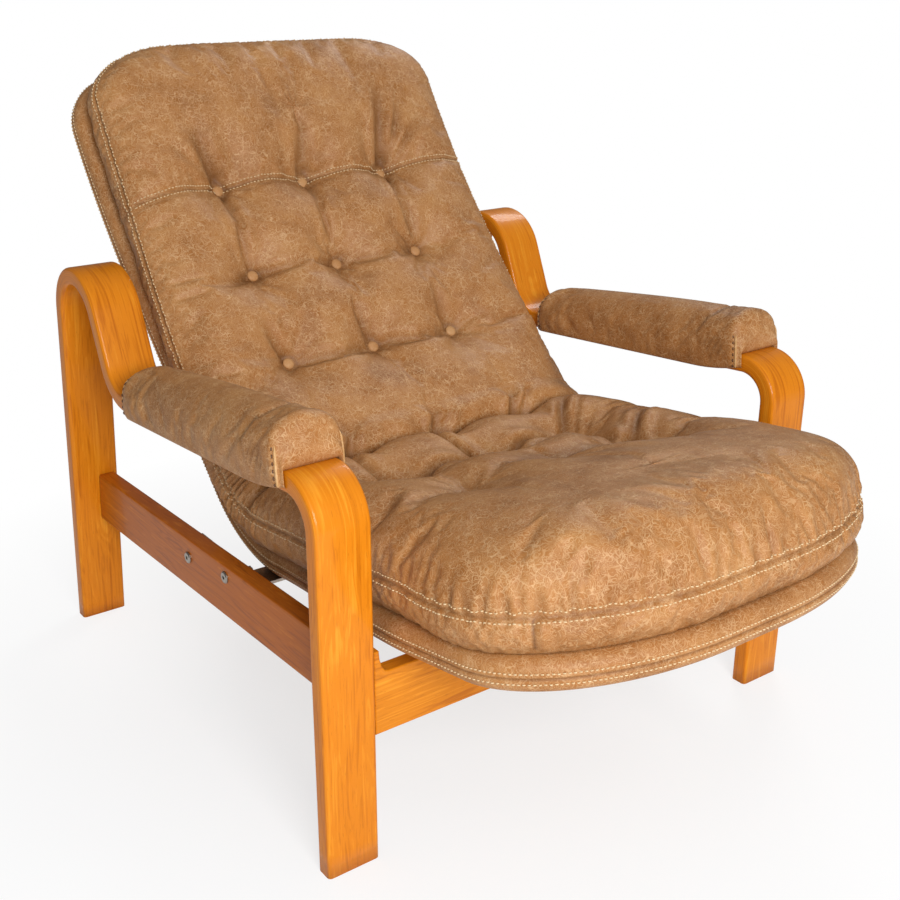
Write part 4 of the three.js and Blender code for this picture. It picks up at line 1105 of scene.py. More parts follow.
@dataclass
class MainCushion:
    """The long buttoned cushion: a stitched band below and a crowned top."""

    datum: Datum
    finishes: Finishes
    line: SeatLine
    low: float = 40.3
    half_width: float = 295.0
    overhang: float = 12.0
    front_flare: float = 30.0
    flare_station: float = 66.0
    head_taper: float = 14.0
    front_depth: float = 215.0
    front_reach: float = 270.0
    head_corner: float = 84.0
    head_reach: float = 130.0
    band_seat: float = 44.0
    band_back: float = 50.0
    bulge: float = 6.0
    draw_in: float = 16.0
    front_roll: float = 80.0
    head_roll: float = 62.0
    squareness: float = 6.0
    back_spread: float = 50.0
    seat_spread: float = 58.0
    back_tuft: float = 38.0
    seat_tuft: float = 66.0
    fold_tuft: float = 24.0
    dimples: tuple[float, float, float] = (24.0, 16.0, 60.0)  # right, centre, left
    columns: tuple[float, float, float] = (-140.0, 0.0, 140.0)
    row_spacing: float = 146.0
    head_row_from_top: float = 231.0
    dimple_row: float = 317.0
    seat_row: float = 447.0
    fold_row_ahead: float = 10.0
    fold_share: float = 0.25
    crown_station: float = 335.0
    hip_fold: tuple[float, float] = (34.0, 34.0)
    head_seam: tuple[float, float] = (8.0, 16.0)
    seam_swag: float = 2.0
    spacing: float = 6.5
    seam_groove: float = 2.2
    firmness: float = 0.75  # share of the even swelling that the foam holds back
    band_joint: float = -266.0  # round the seam from the front middle
    piece: bpy.types.Object | None = None
    plan: np.ndarray = field(default_factory=lambda: np.zeros((0, 2)))
    grid: np.ndarray = field(default_factory=lambda: np.zeros((0, 0, 3)))
    flat: np.ndarray = field(default_factory=lambda: np.zeros((0, 0, 2)))
    fold: np.ndarray = field(default_factory=lambda: np.zeros((0, 0)))
    free: np.ndarray = field(default_factory=lambda: np.zeros((0, 0)))
    seam_row: int = 0
    hem_row: int = 0

    @property
    def length(self) -> float:
        """Length of the cushion along the seat line."""
        return self.line.length + self.overhang

    @property
    def rows(self) -> tuple[float, float, float]:
        """Stations of the lumbar, middle and head rows of buttons."""
        head = self.length - self.head_row_from_top
        return (head - 2 * self.row_spacing, head - self.row_spacing, head)

    @property
    def fold_station(self) -> float:
        """Station of the deep fold between seat and back."""
        return self.line.seat_run + self.fold_share * self.line.hip_radius * self.line.hip_turn

    def outline(self) -> PlanOutline:
        """The cushion's plan at its top seam."""
        return PlanOutline(self.half_width, ((self.flare_station, self.front_flare),
            (self.line.overhang - 24.0, 0.0), (self.line.hip_end, 0.0),
            (self.length - self.head_corner, -self.head_taper)), self.length, self.front_depth,
            self.front_reach, self.head_corner, self.head_reach)

    def band(self, s: np.ndarray) -> np.ndarray:
        """Height of the side band at stations."""
        return eased(((self.crown_station, self.band_seat), (self.rows[0], self.band_back)), s)

    def crown_knots(self) -> tuple[tuple[float, float], ...]:
        """Crown heights above the band at stations."""
        lumbar, middle, head = self.rows
        return ((self.front_roll, 83.0), (self.crown_station, 76.0), (self.fold_station, 64.0),
            (lumbar, 42.0), (middle, 36.0), (head, 36.0), (self.length - self.head_roll, 38.0))

    def seam_station(self, x: np.ndarray) -> np.ndarray:
        """Station of the head seam: it bows up between buttons, down at the near end."""
        column = self.columns[2]
        share = np.abs((np.abs(x) + column / 2) % column - column / 2) / (column / 2)
        droop = 18.0 * np.clip((-x - column) / column, 0, 1.2) ** 1.4
        return self.rows[2] + self.seam_swag * np.minimum(share, 1.0) ** 0.7 - droop

    def tufts(self) -> list[tuple[float, float, float, float]]:
        """Each tuft's place across and along, depth and spread."""
        found = [(column, row, self.back_tuft, self.back_spread) for row in self.rows
            for column in self.columns]
        for column, dimple in zip(self.columns, self.dimples):
            found.append((column, self.seat_row, self.seat_tuft, self.seat_spread))
            found.append((column, self.dimple_row, dimple, self.seat_spread))
            fold = self.fold_station - self.fold_row_ahead
            found.append((column, fold, self.fold_tuft, self.back_spread))
        return found

    def buttoned(self) -> list[tuple[float, float]]:
        """Places of the tufts that carry a button, across and along."""
        return [(column, row) for row in (*self.rows, self.seat_row) for column in self.columns]

    def top(self, x: np.ndarray, s: np.ndarray) -> tuple[np.ndarray, np.ndarray, np.ndarray]:
        """Height of the top, its painted crease shade and how free it is to crease.

        Args:
            x: across.
            s: along.

        Returns:
            Height out of the seat line, the fold mark, and the freedom from 0
            at the seams to 1.
        """
        width = self.outline().width(np.clip(s, 0.5, self.length - 0.5))
        inside = np.clip(np.abs(x) / width, 0, 1)
        side = np.sqrt(1 - inside**self.squareness)
        front = 1 - np.clip(s / self.front_roll, 0, 1)
        head = 1 - np.clip((self.length - s) / self.head_roll, 0, 1)
        ends = np.sqrt(np.clip(1 - front**2, 0, 1)) * np.sqrt(np.clip(1 - head**2, 0, 1))
        band = self.band(s)
        crown = eased(self.crown_knots(), s) * side * ends
        dip = self.hip_fold[0] * (0.6 * bell(s - self.fold_station, self.hip_fold[1]) + 0.4
            * bell(s - self.fold_station, 13.0))
        dip = dip + self.head_seam[0] * bell(s - self.seam_station(x), self.head_seam[1])
        # Painted shade: the fold mark darkens the hip fold and each tuft's dimple.
        fold = 0.3 * bell(s - self.fold_station, 14.0)
        for column, station, depth, spread in self.tufts():
            away = np.hypot(x - column, s - station)
            dip = dip + depth * (0.86 * bell(away, spread) + 0.14 * bell(away, 15.0))
            fold = fold + min(depth / 60, 0.5) * 0.5 * bell(away, 18.0)
        limit = 0.95 * crown + 0.4 * band * side
        height = self.low + band + crown - np.minimum(dip * side, limit)
        return height, fold, np.clip(crown / 30, 0, 1)

    def lay_rows(self) -> None:
        """Lay the skin's rows: underside, band, then the top to its middle."""
        plan, out = self.outline().loop(self.spacing)
        self.plan = plan
        count = len(plan)
        spine = np.stack([np.zeros(count), np.clip(plan[:, 1], 150.0, self.length - 130.0)], -1)
        rows, folds, flats, frees = [], [], [], []

        def lay(flat: np.ndarray, height: np.ndarray, fold: np.ndarray, free: np.ndarray) -> None:
            rows.append(self.line.carry(flat[:, 0], flat[:, 1], height))
            folds.append(fold)
            flats.append(flat)
            frees.append(free)

        bottom = plan - out * self.draw_in
        nothing = np.zeros(count)
        for share in np.linspace(1, 0, 12)[:-1]:
            flat = bottom * (1 - share) + spine * share
            lay(flat, np.full(count, self.low), nothing, nothing)
        band = self.band(plan[:, 1])
        self.hem_row = len(rows)
        for share in np.linspace(0, 1, 11):
            reach = self.bulge * math.sin(math.pi * share) - self.draw_in * (1 - share) ** 2
            # Painted shade: the fold mark darkens the band towards its lower edge.
            lay(plan + out * reach, self.low + band * share,
                np.full(count, 0.25 * (1 - share) ** 3), nothing + 4 * share * (1 - share))
        self.seam_row = len(rows) - 1
        steps = [0.0, 0.7, 2.0, 4.2, 7.6, 12.0]
        while steps[-1] < self.half_width - self.spacing:
            steps.append(steps[-1] + self.spacing)
        steps.append(self.half_width)
        for step in steps[1:]:
            share = step / self.half_width
            flat = plan * (1 - share) + spine * share
            height, fold, free = self.top(flat[:, 0], flat[:, 1])
            lay(flat, height, fold, free)
        self.grid = np.stack(rows)
        self.fold = np.stack(folds)
        self.flat = np.stack(flats)
        self.free = np.stack(frees)

    def away_from_seam(self) -> np.ndarray:
        """Distance over the skin from the top seam, positive on the top."""
        hops = np.linalg.norm(np.diff(self.grid, axis=0), axis=2)
        walked = np.concatenate([np.zeros((1, len(self.plan))), np.cumsum(hops, axis=0)])
        return walked - walked[self.seam_row]

    def crease(self) -> None:
        """Press the folds and the unevenness of used leather into the skin."""
        top = slice(self.seam_row + 1, None)
        x, s = self.flat[top, :, 0].ravel(), self.flat[top, :, 1].ravel()
        pressed = np.zeros(self.grid.shape[:2])
        folds = sum(one.press(x, s) for one in cushion_creases(self))
        pressed[top] += folds.reshape(pressed[top].shape) * self.free[top]
        # Painted shade: the creases are darkened through the fold mark as well as pressed in.
        self.fold = self.fold + np.clip(pressed, 0, 12) / 16
        uneven = 1.5 * soft_noise(self.grid, 90.0, 3) + 0.5 * soft_noise(self.grid, 30.0, 4)
        pressed += uneven * np.clip(self.free, 0, 1)
        self.grid = self.grid - grid_normals(self.grid) * pressed[..., None]

    def held(self) -> np.ndarray:
        """How firmly each place of the skin is sewn or glued down, 0 to 1."""
        rows = np.arange(self.grid.shape[0])[:, None]
        x, s = self.flat[..., 0], self.flat[..., 1]
        firm = np.where(rows <= self.hem_row, 1.0, 0.0) + 0 * x
        firm = np.where((rows > self.hem_row) & (rows < self.seam_row), 0.25, firm)
        sewn = 0.9 * bell(s - self.seam_station(x), 5.0)
        sewn = np.maximum(sewn, 0.7 * bell(self.away_from_seam(), 22.0))
        for column, station, depth, _ in self.tufts():
            away = np.hypot(x - column, s - station)
            reach = 9.0 if depth > 20 else 6.0
            sewn = np.maximum(sewn, np.clip(1.6 - away / reach, 0, 1))
        firm = np.where(rows > self.seam_row, sewn, firm)
        return np.where(rows == self.seam_row, 1.0, firm)

    def puff(self) -> None:
        """Let the cover settle on its filling between the places that hold it."""
        shape = self.grid.shape
        faces = grid_faces(shape[0], shape[1], True)
        start = self.grid.reshape(-1, 3) * MM
        rest = CoverSlack().settle(start, faces, self.held().ravel())
        moved = (rest / MM).reshape(shape) - self.grid
        swelling = moved
        for _ in range(40):
            swelling = (np.roll(swelling, 1, 1) + 2 * swelling + np.roll(swelling, -1, 1)) / 4
            ends = np.concatenate([swelling[:1], swelling, swelling[-1:]])
            swelling = (ends[:-2] + 2 * swelling + ends[2:]) / 4
        start = self.grid
        self.grid = start + moved - self.firmness * swelling
        self.close_middle(14)

    def close_middle(self, reach: int) -> None:
        """Bring the two halves together again where they meet in the middle.

        Args:
            reach: how many rows share the shift.
        """
        for end in (0, -1):
            keys = np.round(self.flat[end] / 0.05).astype(np.int64)
            _, twin = np.unique(keys, axis=0, return_inverse=True)
            twin = twin.ravel()
            mean = np.zeros((twin.max() + 1, 3))
            np.add.at(mean, twin, self.grid[end])
            mean /= np.bincount(twin)[:, None]
            shift = mean[twin] - self.grid[end]
            for row in range(reach):
                self.grid[row if end == 0 else -1 - row] += shift * (1 - row / reach) ** 2

    def refine(self) -> None:
        """Make the skin twice as fine, for the seams and the small puckers."""
        self.grid = doubled(self.grid)
        self.fold, self.free = doubled(self.fold), doubled(self.free)
        self.flat = doubled(self.flat)
        self.plan = doubled(self.plan[None])[0]
        self.seam_row *= 2
        self.hem_row *= 2

    def sew(self) -> None:
        """Draw the seams in, gather the leather along them, and darken both as painted shade."""
        away = self.away_from_seam()
        pressed = self.gathers(away)
        # Painted shade: the gathers are darkened through the fold mark.
        self.fold = self.fold + np.clip(pressed, 0, 12) / 12
        line = bell(away, 1.5)
        pressed += self.seam_groove * line - 0.9 * bell(np.abs(away) - 3.6, 1.9)
        x, s = self.flat[..., 0], self.flat[..., 1]
        off = s - self.seam_station(x)
        on_top = (away > 2) * np.clip(self.free * 2, 0, 1)
        across = bell(off, 1.9) * on_top
        pressed += 2.6 * across - 1.2 * bell(np.abs(off) - 4.4, 2.2) * on_top
        for column, station in self.buttoned():
            near = np.hypot(x - column, s - station)
            ring = bell(near - 10.0, 2.2) * (away > 2)
            pressed += 1.2 * ring
            # Painted shade: a dark ring round each button, through the fold mark.
            self.fold = self.fold + 0.3 * ring
        self.grid = self.grid - grid_normals(self.grid) * pressed[..., None]
        self.close_middle(3)
        # Painted shade: the seam grooves are darkened through the fold mark.
        self.fold = np.clip(self.fold + 0.3 * line + 0.4 * across, 0, 0.75)

    def gathers(self, away: np.ndarray) -> np.ndarray:
        """Puckers that the top seam gathers, and the fan of them at the hip.

        Args:
            away: distance from the seam over the skin.

        Returns:
            How deep each place is pressed.
        """
        rng = np.random.default_rng(11)
        plan = self.plan
        count = len(plan)
        hops = np.linalg.norm(np.roll(plan, -1, 0) - plan, axis=1)
        arc = np.concatenate([[0], np.cumsum(hops)[:-1]])
        whole = float(hops.sum())
        arc = np.where(arc > whole / 2, arc - whole, arc)
        station = plan[:, 1]
        pressed = np.zeros_like(away)
        places: list[tuple[float, float, float, float, float]] = []
        at = -430.0
        while at < 430.0:
            strength = float(eased(((-430, 1.0), (-250, 2.6), (-120, 1.8), (40, 2.6), (210, 3.6),
                (430, 1.6)), np.array([at]))[0])
            places.append((at, 1.5 * strength * rng.uniform(0.5, 1.25), rng.uniform(30, 86), 12.0,
                rng.uniform(3.6, 6.5)))
            at += rng.uniform(13, 27)
        for sign in (-1.0, 1.0):
            at = 460.0
            while at < whole / 2 - 60:
                index = int(np.argmin(np.abs(arc - sign * at)))
                s = station[index]
                hip = float(bell(np.array(s - 647.0), 95.0))
                strength = 0.3 + 5.2 * hip
                reach_down = 10.0 + 60.0 * hip
                places.append((sign * at, strength * rng.uniform(0.6, 1.25),
                    rng.uniform(20, 46) + 26 * hip, reach_down, rng.uniform(4.0, 6.5)))
                at += rng.uniform(12, 19) if hip > 0.3 else rng.uniform(24, 48)
        for at, depth, above, below, width in places:
            lean = rng.uniform(-0.16, 0.16)
            near = np.abs(arc - at) < 32
            if not near.any():
                continue
            part = away[:, near]
            across = (arc[near][None, :] - at - lean * part) / width
            up = np.clip(1 - part / above, 0, 1)
            down = np.clip(1 + part / below, 0, 1)
            taper = np.where(part > 0, up, down)
            taper = taper * taper * (3 - 2 * taper)
            shape = np.exp(-(across**2)) - 0.45 * np.exp(-((np.abs(across) - 1.9) ** 2))
            off_seam = np.clip((np.abs(part) - 2.0) / 4.0, 0.15, 1)
            pressed[:, near] += depth * taper * shape * off_seam
        for offset in (0.0, 6.0):
            line = bell(arc - (self.band_joint + offset), 1.8)[None, :]
            on_band = ((away < -2) & (away > -40)).astype(float)
            pressed += (2.2 if offset == 0 else -1.0) * line * on_band
            # Painted shade along the band's joint line, through the fold mark.
            self.fold = self.fold + (0.5 if offset == 0 else 0.25) * line * on_band
        return pressed

    def build(self) -> bpy.types.Object:
        """Make the cushion's skin."""
        self.lay_rows()
        self.crease()
        self.puff()
        self.refine()
        self.sew()
        self.piece = make_piece("seat_cushion", self.datum.room(self.grid.reshape(-1, 3)),
            grid_faces(self.grid.shape[0], self.grid.shape[1], True), self.finishes.leather,
            ["main_cushion"], weld=2e-5, marks={"fold": self.fold.ravel()})
        return self.piece

    def seam_path(self, reach: float) -> tuple[np.ndarray, np.ndarray]:
        """A line round the skin at a distance from the top seam.

        Args:
            reach: millimetres over the skin, positive on the top.

        Returns:
            The line's points and the skin's directions there.
        """
        away = self.away_from_seam()
        normals = grid_normals(self.grid)
        count = len(self.plan)
        path, out = np.empty((count, 3)), np.empty((count, 3))
        for c in range(count):
            for k in range(3):
                path[c, k] = np.interp(reach, away[:, c], self.grid[:, c, k])
                out[c, k] = np.interp(reach, away[:, c], normals[:, c, k])
        return path, out

    def surface(self) -> BVHTree:
        """The finished cushion, for things that lie on it."""
        return BVHTree.FromObject(self.piece, bpy.context.evaluated_depsgraph_get())

    def land(self, tree: BVHTree, x: float, s: float) -> tuple[Vector, Vector] | None:
        """Drop onto the cushion's top at a flat place.

        Args:
            tree: from surface.
            x: across.
            s: along.

        Returns:
            The place in metres and the surface's direction there, or None.
        """
        ends = self.line.carry(np.array([x, x]), np.array([s, s]), np.array([260.0, 0.0]))
        high, low = (Vector(p) for p in self.datum.room(ends))
        place, normal, _, _ = tree.ray_cast(high, (low - high).normalized())
        return None if place is None else (place, normal)


def cushion_creases(cushion: MainCushion) -> list[Crease]:
    """The folds that the tufts pull in the leather.

    Args:
        cushion: the cushion, for the places of its tufts.

    Returns:
        The folds, longest ones first.
    """
    left, centre, right = cushion.columns[2], cushion.columns[1], cushion.columns[0]
    lumbar, middle, head = cushion.rows
    seat, dimple = cushion.seat_row, cushion.dimple_row
    fold = cushion.fold_station - cushion.fold_row_ahead
    found = [
        # between the head and middle rows
        ((right + 2, head - 6), (right + 1, middle + 8), -9, 5.0, 6.5, 0.0, 0.35),
        ((centre + 2, head - 6), (centre + 1, middle + 8), -9, 4.0, 7.0, 0.0, 0.45),
        ((left + 2, head - 6), (left + 1, middle + 8), -10, 5.5, 6.5, 0.0, 0.3),
        ((left + 14, head - 22), (left + 9, middle + 14), -8, 3.6, 5.5, 0.3, 0.3),
        # up into the headrest
        ((right, head + 10), (right - 28, head + 105), 8, 7.0, 10.0, 0.0, 0.7),
        ((right - 14, head + 14), (right - 60, head + 60), 4, 3.0, 7.0, 0.2, 0.7),
        ((centre, head + 10), (centre + 18, head + 120), 6, 6.0, 10.0, 0.0, 0.75),
        ((left, head + 8), (left + 26, head + 150), 8, 8.5, 9.0, 0.0, 0.6),
        ((left + 8, head + 8), (left + 74, head + 128), 8, 5.0, 6.5, 0.1, 0.6),
        ((left + 14, head + 5), (left + 104, head + 84), 6, 4.2, 6.0, 0.1, 0.6),
        ((left + 20, head + 22), (left + 60, head + 150), 5, 3.2, 5.0, 0.2, 0.5),
        # along the middle and lumbar rows
        ((right + 8, middle), (centre - 40, middle + 12), -7, 4.0, 8.0, 0.0, 0.7),
        ((centre - 8, middle), (centre - 60, middle + 6), 3, 2.5, 7.0, 0.0, 0.8),
        ((centre + 8, middle), (left - 8, middle), -9, 3.5, 9.0, 0.1, 0.1),
        ((right - 8, middle - 4), (right - 90, middle - 10), 8, 4.0, 11.0, 0.0, 0.8),
        ((right + 8, lumbar), (centre - 8, lumbar), -12, 5.0, 10.0, 0.1, 0.1),
        ((centre + 8, lumbar), (left - 8, lumbar), -12, 5.0, 10.0, 0.1, 0.1),
        ((right - 4, lumbar + 8), (right - 26, lumbar + 70), 5, 5.0, 8.0, 0.0, 0.7),
        ((centre - 4, lumbar + 8), (centre - 14, lumbar + 84), 4, 4.0, 9.0, 0.0, 0.7),
        ((left - 4, lumbar + 8), (left - 16, lumbar + 80), 4, 4.5, 8.0, 0.0, 0.7),
        # from the fold up the lower back
        ((centre - 4, fold + 12), (centre + 6, fold + 150), -12, 7.0, 8.0, 0.0, 0.6),
        ((centre + 10, fold + 16), (centre + 34, fold + 120), -9, 4.5, 7.0, 0.1, 0.6),
        ((left - 2, fold + 12), (left + 10, fold + 170), -8, 7.5, 7.5, 0.0, 0.6),
        ((left + 12, fold + 14), (left + 44, fold + 140), -6, 5.0, 6.0, 0.1, 0.6),
        ((right, fold + 12), (right + 6, fold + 150), -10, 6.0, 8.0, 0.0, 0.6),
        # over the seat
        ((centre, seat + 10), (centre - 26, fold - 10), 10, 8.0, 7.0, 0.0, 0.3),
        ((left, seat + 8), (left + 92, seat + 112), 10, 9.0, 7.5, 0.0, 0.45),
        ((left + 10, seat + 4), (left + 96, seat + 84), 8, 4.5, 5.5, 0.1, 0.5),
        ((left, dimple + 8), (left + 112, dimple + 92), 12, 9.0, 8.0, 0.0, 0.5),
        ((left + 6, dimple + 22), (left + 84, dimple + 116), 8, 4.0, 6.0, 0.2, 0.5),
        ((left, seat - 8), (left, dimple + 8), 6, 6.0, 10.0, 0.0, 0.1),
        ((centre + 8, seat), (left - 8, seat), 16, 7.0, 9.0, 0.1, 0.1),
        ((right + 8, seat), (centre - 8, seat), 14, 7.0, 9.0, 0.1, 0.1),
        ((right - 8, seat), (right - 90, seat + 40), -6, 5.0, 9.0, 0.0, 0.6),
        ((right, seat + 8), (right - 20, fold - 8), 8, 6.0, 8.0, 0.0, 0.3),
        ((right + 20, dimple), (left - 30, dimple - 22), 22, 5.0, 20.0, 0.3, 0.3),
        ((left + 10, dimple - 6), (left + 90, dimple - 10), -8, 4.0, 9.0, 0.0, 0.7),
    ]
    rng = np.random.default_rng(5)
    for column, station, depth, _ in cushion.tufts():
        if depth < 20:
            continue
        spokes = int(rng.integers(6, 9))
        start = rng.uniform(0, 6.28)
        for k in range(spokes):
            turn = start + 2 * math.pi * k / spokes + rng.uniform(-0.3, 0.3)
            reach = rng.uniform(26, 62)
            away = (math.cos(turn), math.sin(turn))
            found.append(((column + 9 * away[0], station + 9 * away[1]),
                (column + reach * away[0], station + reach * away[1]), rng.uniform(-4, 4),
                rng.uniform(1.2, 2.6), rng.uniform(3.2, 5.2), 0.0, 0.8))
    return [Crease(*row) for row in found]


@dataclass
class Stitching:
    """Lockstitches: short raised thread ends along a line on the leather."""

    datum: Datum
    finishes: Finishes
    pitch: float = 5.4
    length: float = 3.5
    radius: float = 0.85
    sides: int = 6
    thread: bpy.types.Material | None = None
    points: list[np.ndarray] = field(default_factory=list)
    faces: list[np.ndarray] = field(default_factory=list)

    def run(self, path: np.ndarray, out: np.ndarray, closed: bool = False) -> None:
        """Sew along a line.

        Args:
            path: the line's points in millimetres.
            out: directions out of the leather at them.
            closed: whether the line joins up.
        """
        if closed:
            path, out = np.vstack([path, path[:1]]), np.vstack([out, out[:1]])
        walked = walk_along(path)
        middles = np.arange(self.pitch / 2, walked[-1], self.pitch)
        if not len(middles):
            return
        shares = np.array([-0.5, -0.3, 0.0, 0.3, 0.5])
        rises = np.array([-0.5, 0.35, 0.55, 0.35, -0.5]) * self.radius
        girths = np.array([0.5, 0.95, 1.0, 0.95, 0.5]) * self.radius
        at = middles[:, None] + shares[None, :] * self.length
        spot = resampled(path, walked, at)
        up = unit(resampled(out, walked, at))
        along = unit(spot[:, -1] - spot[:, 0])
        side = unit(np.cross(along[:, None, :], up))
        points = tubed(spot + up * rises[None, :, None], side, up, girths, self.sides)
        base = sum(len(p) for p in self.points)
        count, rings = len(middles), len(shares)
        one = grid_faces(rings, self.sides, True)
        block = rings * self.sides
        starts = base + block * np.arange(count)
        self.faces.append((starts[:, None, None] + one[None]).reshape(-1, 4))
        self.points.append(points.reshape(-1, 3))

    def finish(self, name: str) -> bpy.types.Object:
        """Make one piece of all the stitches sewn so far.

        Args:
            name: the piece's name.

        Returns:
            The piece.
        """
        piece = make_piece(name, self.datum.room(np.concatenate(self.points)),
            np.concatenate(self.faces), self.thread or self.finishes.thread)
        self.points, self.faces = [], []
        return piece


@dataclass
class Seams:
    """Every stitched line of the chair."""

    datum: Datum
    finishes: Finishes
    cushion: MainCushion
    shell: ShellCover

    def build(self) -> None:
        """Sew the cushion's seams and the shell's rim."""
        sewing = Stitching(self.datum, self.finishes)
        for reach in (7.0, -6.5):
            path, out = self.cushion.seam_path(reach)
            sewing.run(path, out, closed=True)
        tree = self.cushion.surface()
        for offset in (-4.4, 4.4):
            self.across(sewing, tree, offset)
        sewing.finish("cushion_stitching")
        for level in self.shell.seam_heights:
            for offset in (-self.shell.stitch_gap, self.shell.stitch_gap):
                path, out = self.shell.rim_path(level + offset)
                sewing.run(path, out, closed=True)
        sewing.finish("shell_stitching")

    def across(self, sewing: Stitching, tree: BVHTree, offset: float) -> None:
        """Sew across the cushion beside the head seam.

        Args:
            sewing: where the stitches go.
            tree: the cushion's surface.
            offset: millimetres up the back from the seam.
        """
        half = self.cushion.half_width - 16.0
        xs = np.arange(-half, half, 4.0)
        stations = self.cushion.seam_station(xs) + offset
        path, out = [], []
        for x, s in zip(xs, stations):
            landed = self.cushion.land(tree, float(x), float(s))
            if landed is not None:
                path.append(self.datum.own(landed[0]))
                out.append(np.array(landed[1]))
        sewing.run(np.array(path), np.array(out))


@dataclass
class Buttons:
    """Leather covered buttons, one in each tuft."""

    datum: Datum
    finishes: Finishes
    cushion: MainCushion
    radius: float = 8.2
    height: float = 5.0
    lift: float = 0.8

    def profile(self) -> list[tuple[float, float]]:
        """Radius and height pairs from the rim to the middle."""
        points = [(self.radius * 0.8, -4.0), (self.radius * 0.97, 0.2)]
        for i in range(9):
            turn = math.radians(10 * i)
            points.append((self.radius * math.cos(turn),
                1.2 + (self.height - 1.2) * math.sin(turn)))
        return points

    def one(self, spot: str, x: float, s: float, tree: BVHTree) -> None:
        """Make one button where the cushion is.

        Args:
            spot: its row and column, as its CAD node has them.
            x: across.
            s: along.
            tree: the cushion's surface.
        """
        landed = self.cushion.land(tree, x, s)
        if landed is None:
            LOG.warning("button %s found no cushion", spot)
            return
        place, _ = landed
        _, _, angle = self.cushion.line.at(np.array([s]))
        out = Vector((0, -math.sin(angle[0]), math.cos(angle[0])))
        side = Vector((1, 0, 0))
        up = out.cross(side)
        sides = 32
        points = []
        for radius, along in self.profile():
            for i in range(sides):
                turn = 2 * math.pi * i / sides
                wobble = 1 + 0.012 * math.cos(8 * turn)
                points.append(place + (side * math.cos(turn) + up * math.sin(turn))
                    * (radius * wobble * MM) + out * ((along + self.lift) * MM))
        rows = len(self.profile())
        faces = grid_faces(rows, sides, True).tolist()
        points.append(place + out * ((self.height + 0.05 + self.lift) * MM))
        tip = len(points) - 1
        last = (rows - 1) * sides
        faces += [[last + i, last + (i + 1) % sides, tip] for i in range(sides)]
        faces.append(list(range(sides))[::-1])
        make_piece(f"covered_button_{spot}", np.array([p[:] for p in points]), faces,
            self.finishes.button, [f"button_{spot}"])

    def build(self) -> None:
        """Make every button."""
        tree = self.cushion.surface()
        stations = (*self.cushion.rows, self.cushion.seat_row)
        for row, station in zip(("lumbar", "middle", "head", "seat"), stations):
            for label, column in zip(("right", "centre", "left"), self.cushion.columns):
                self.one(f"{row}_{label}", column, station, tree)


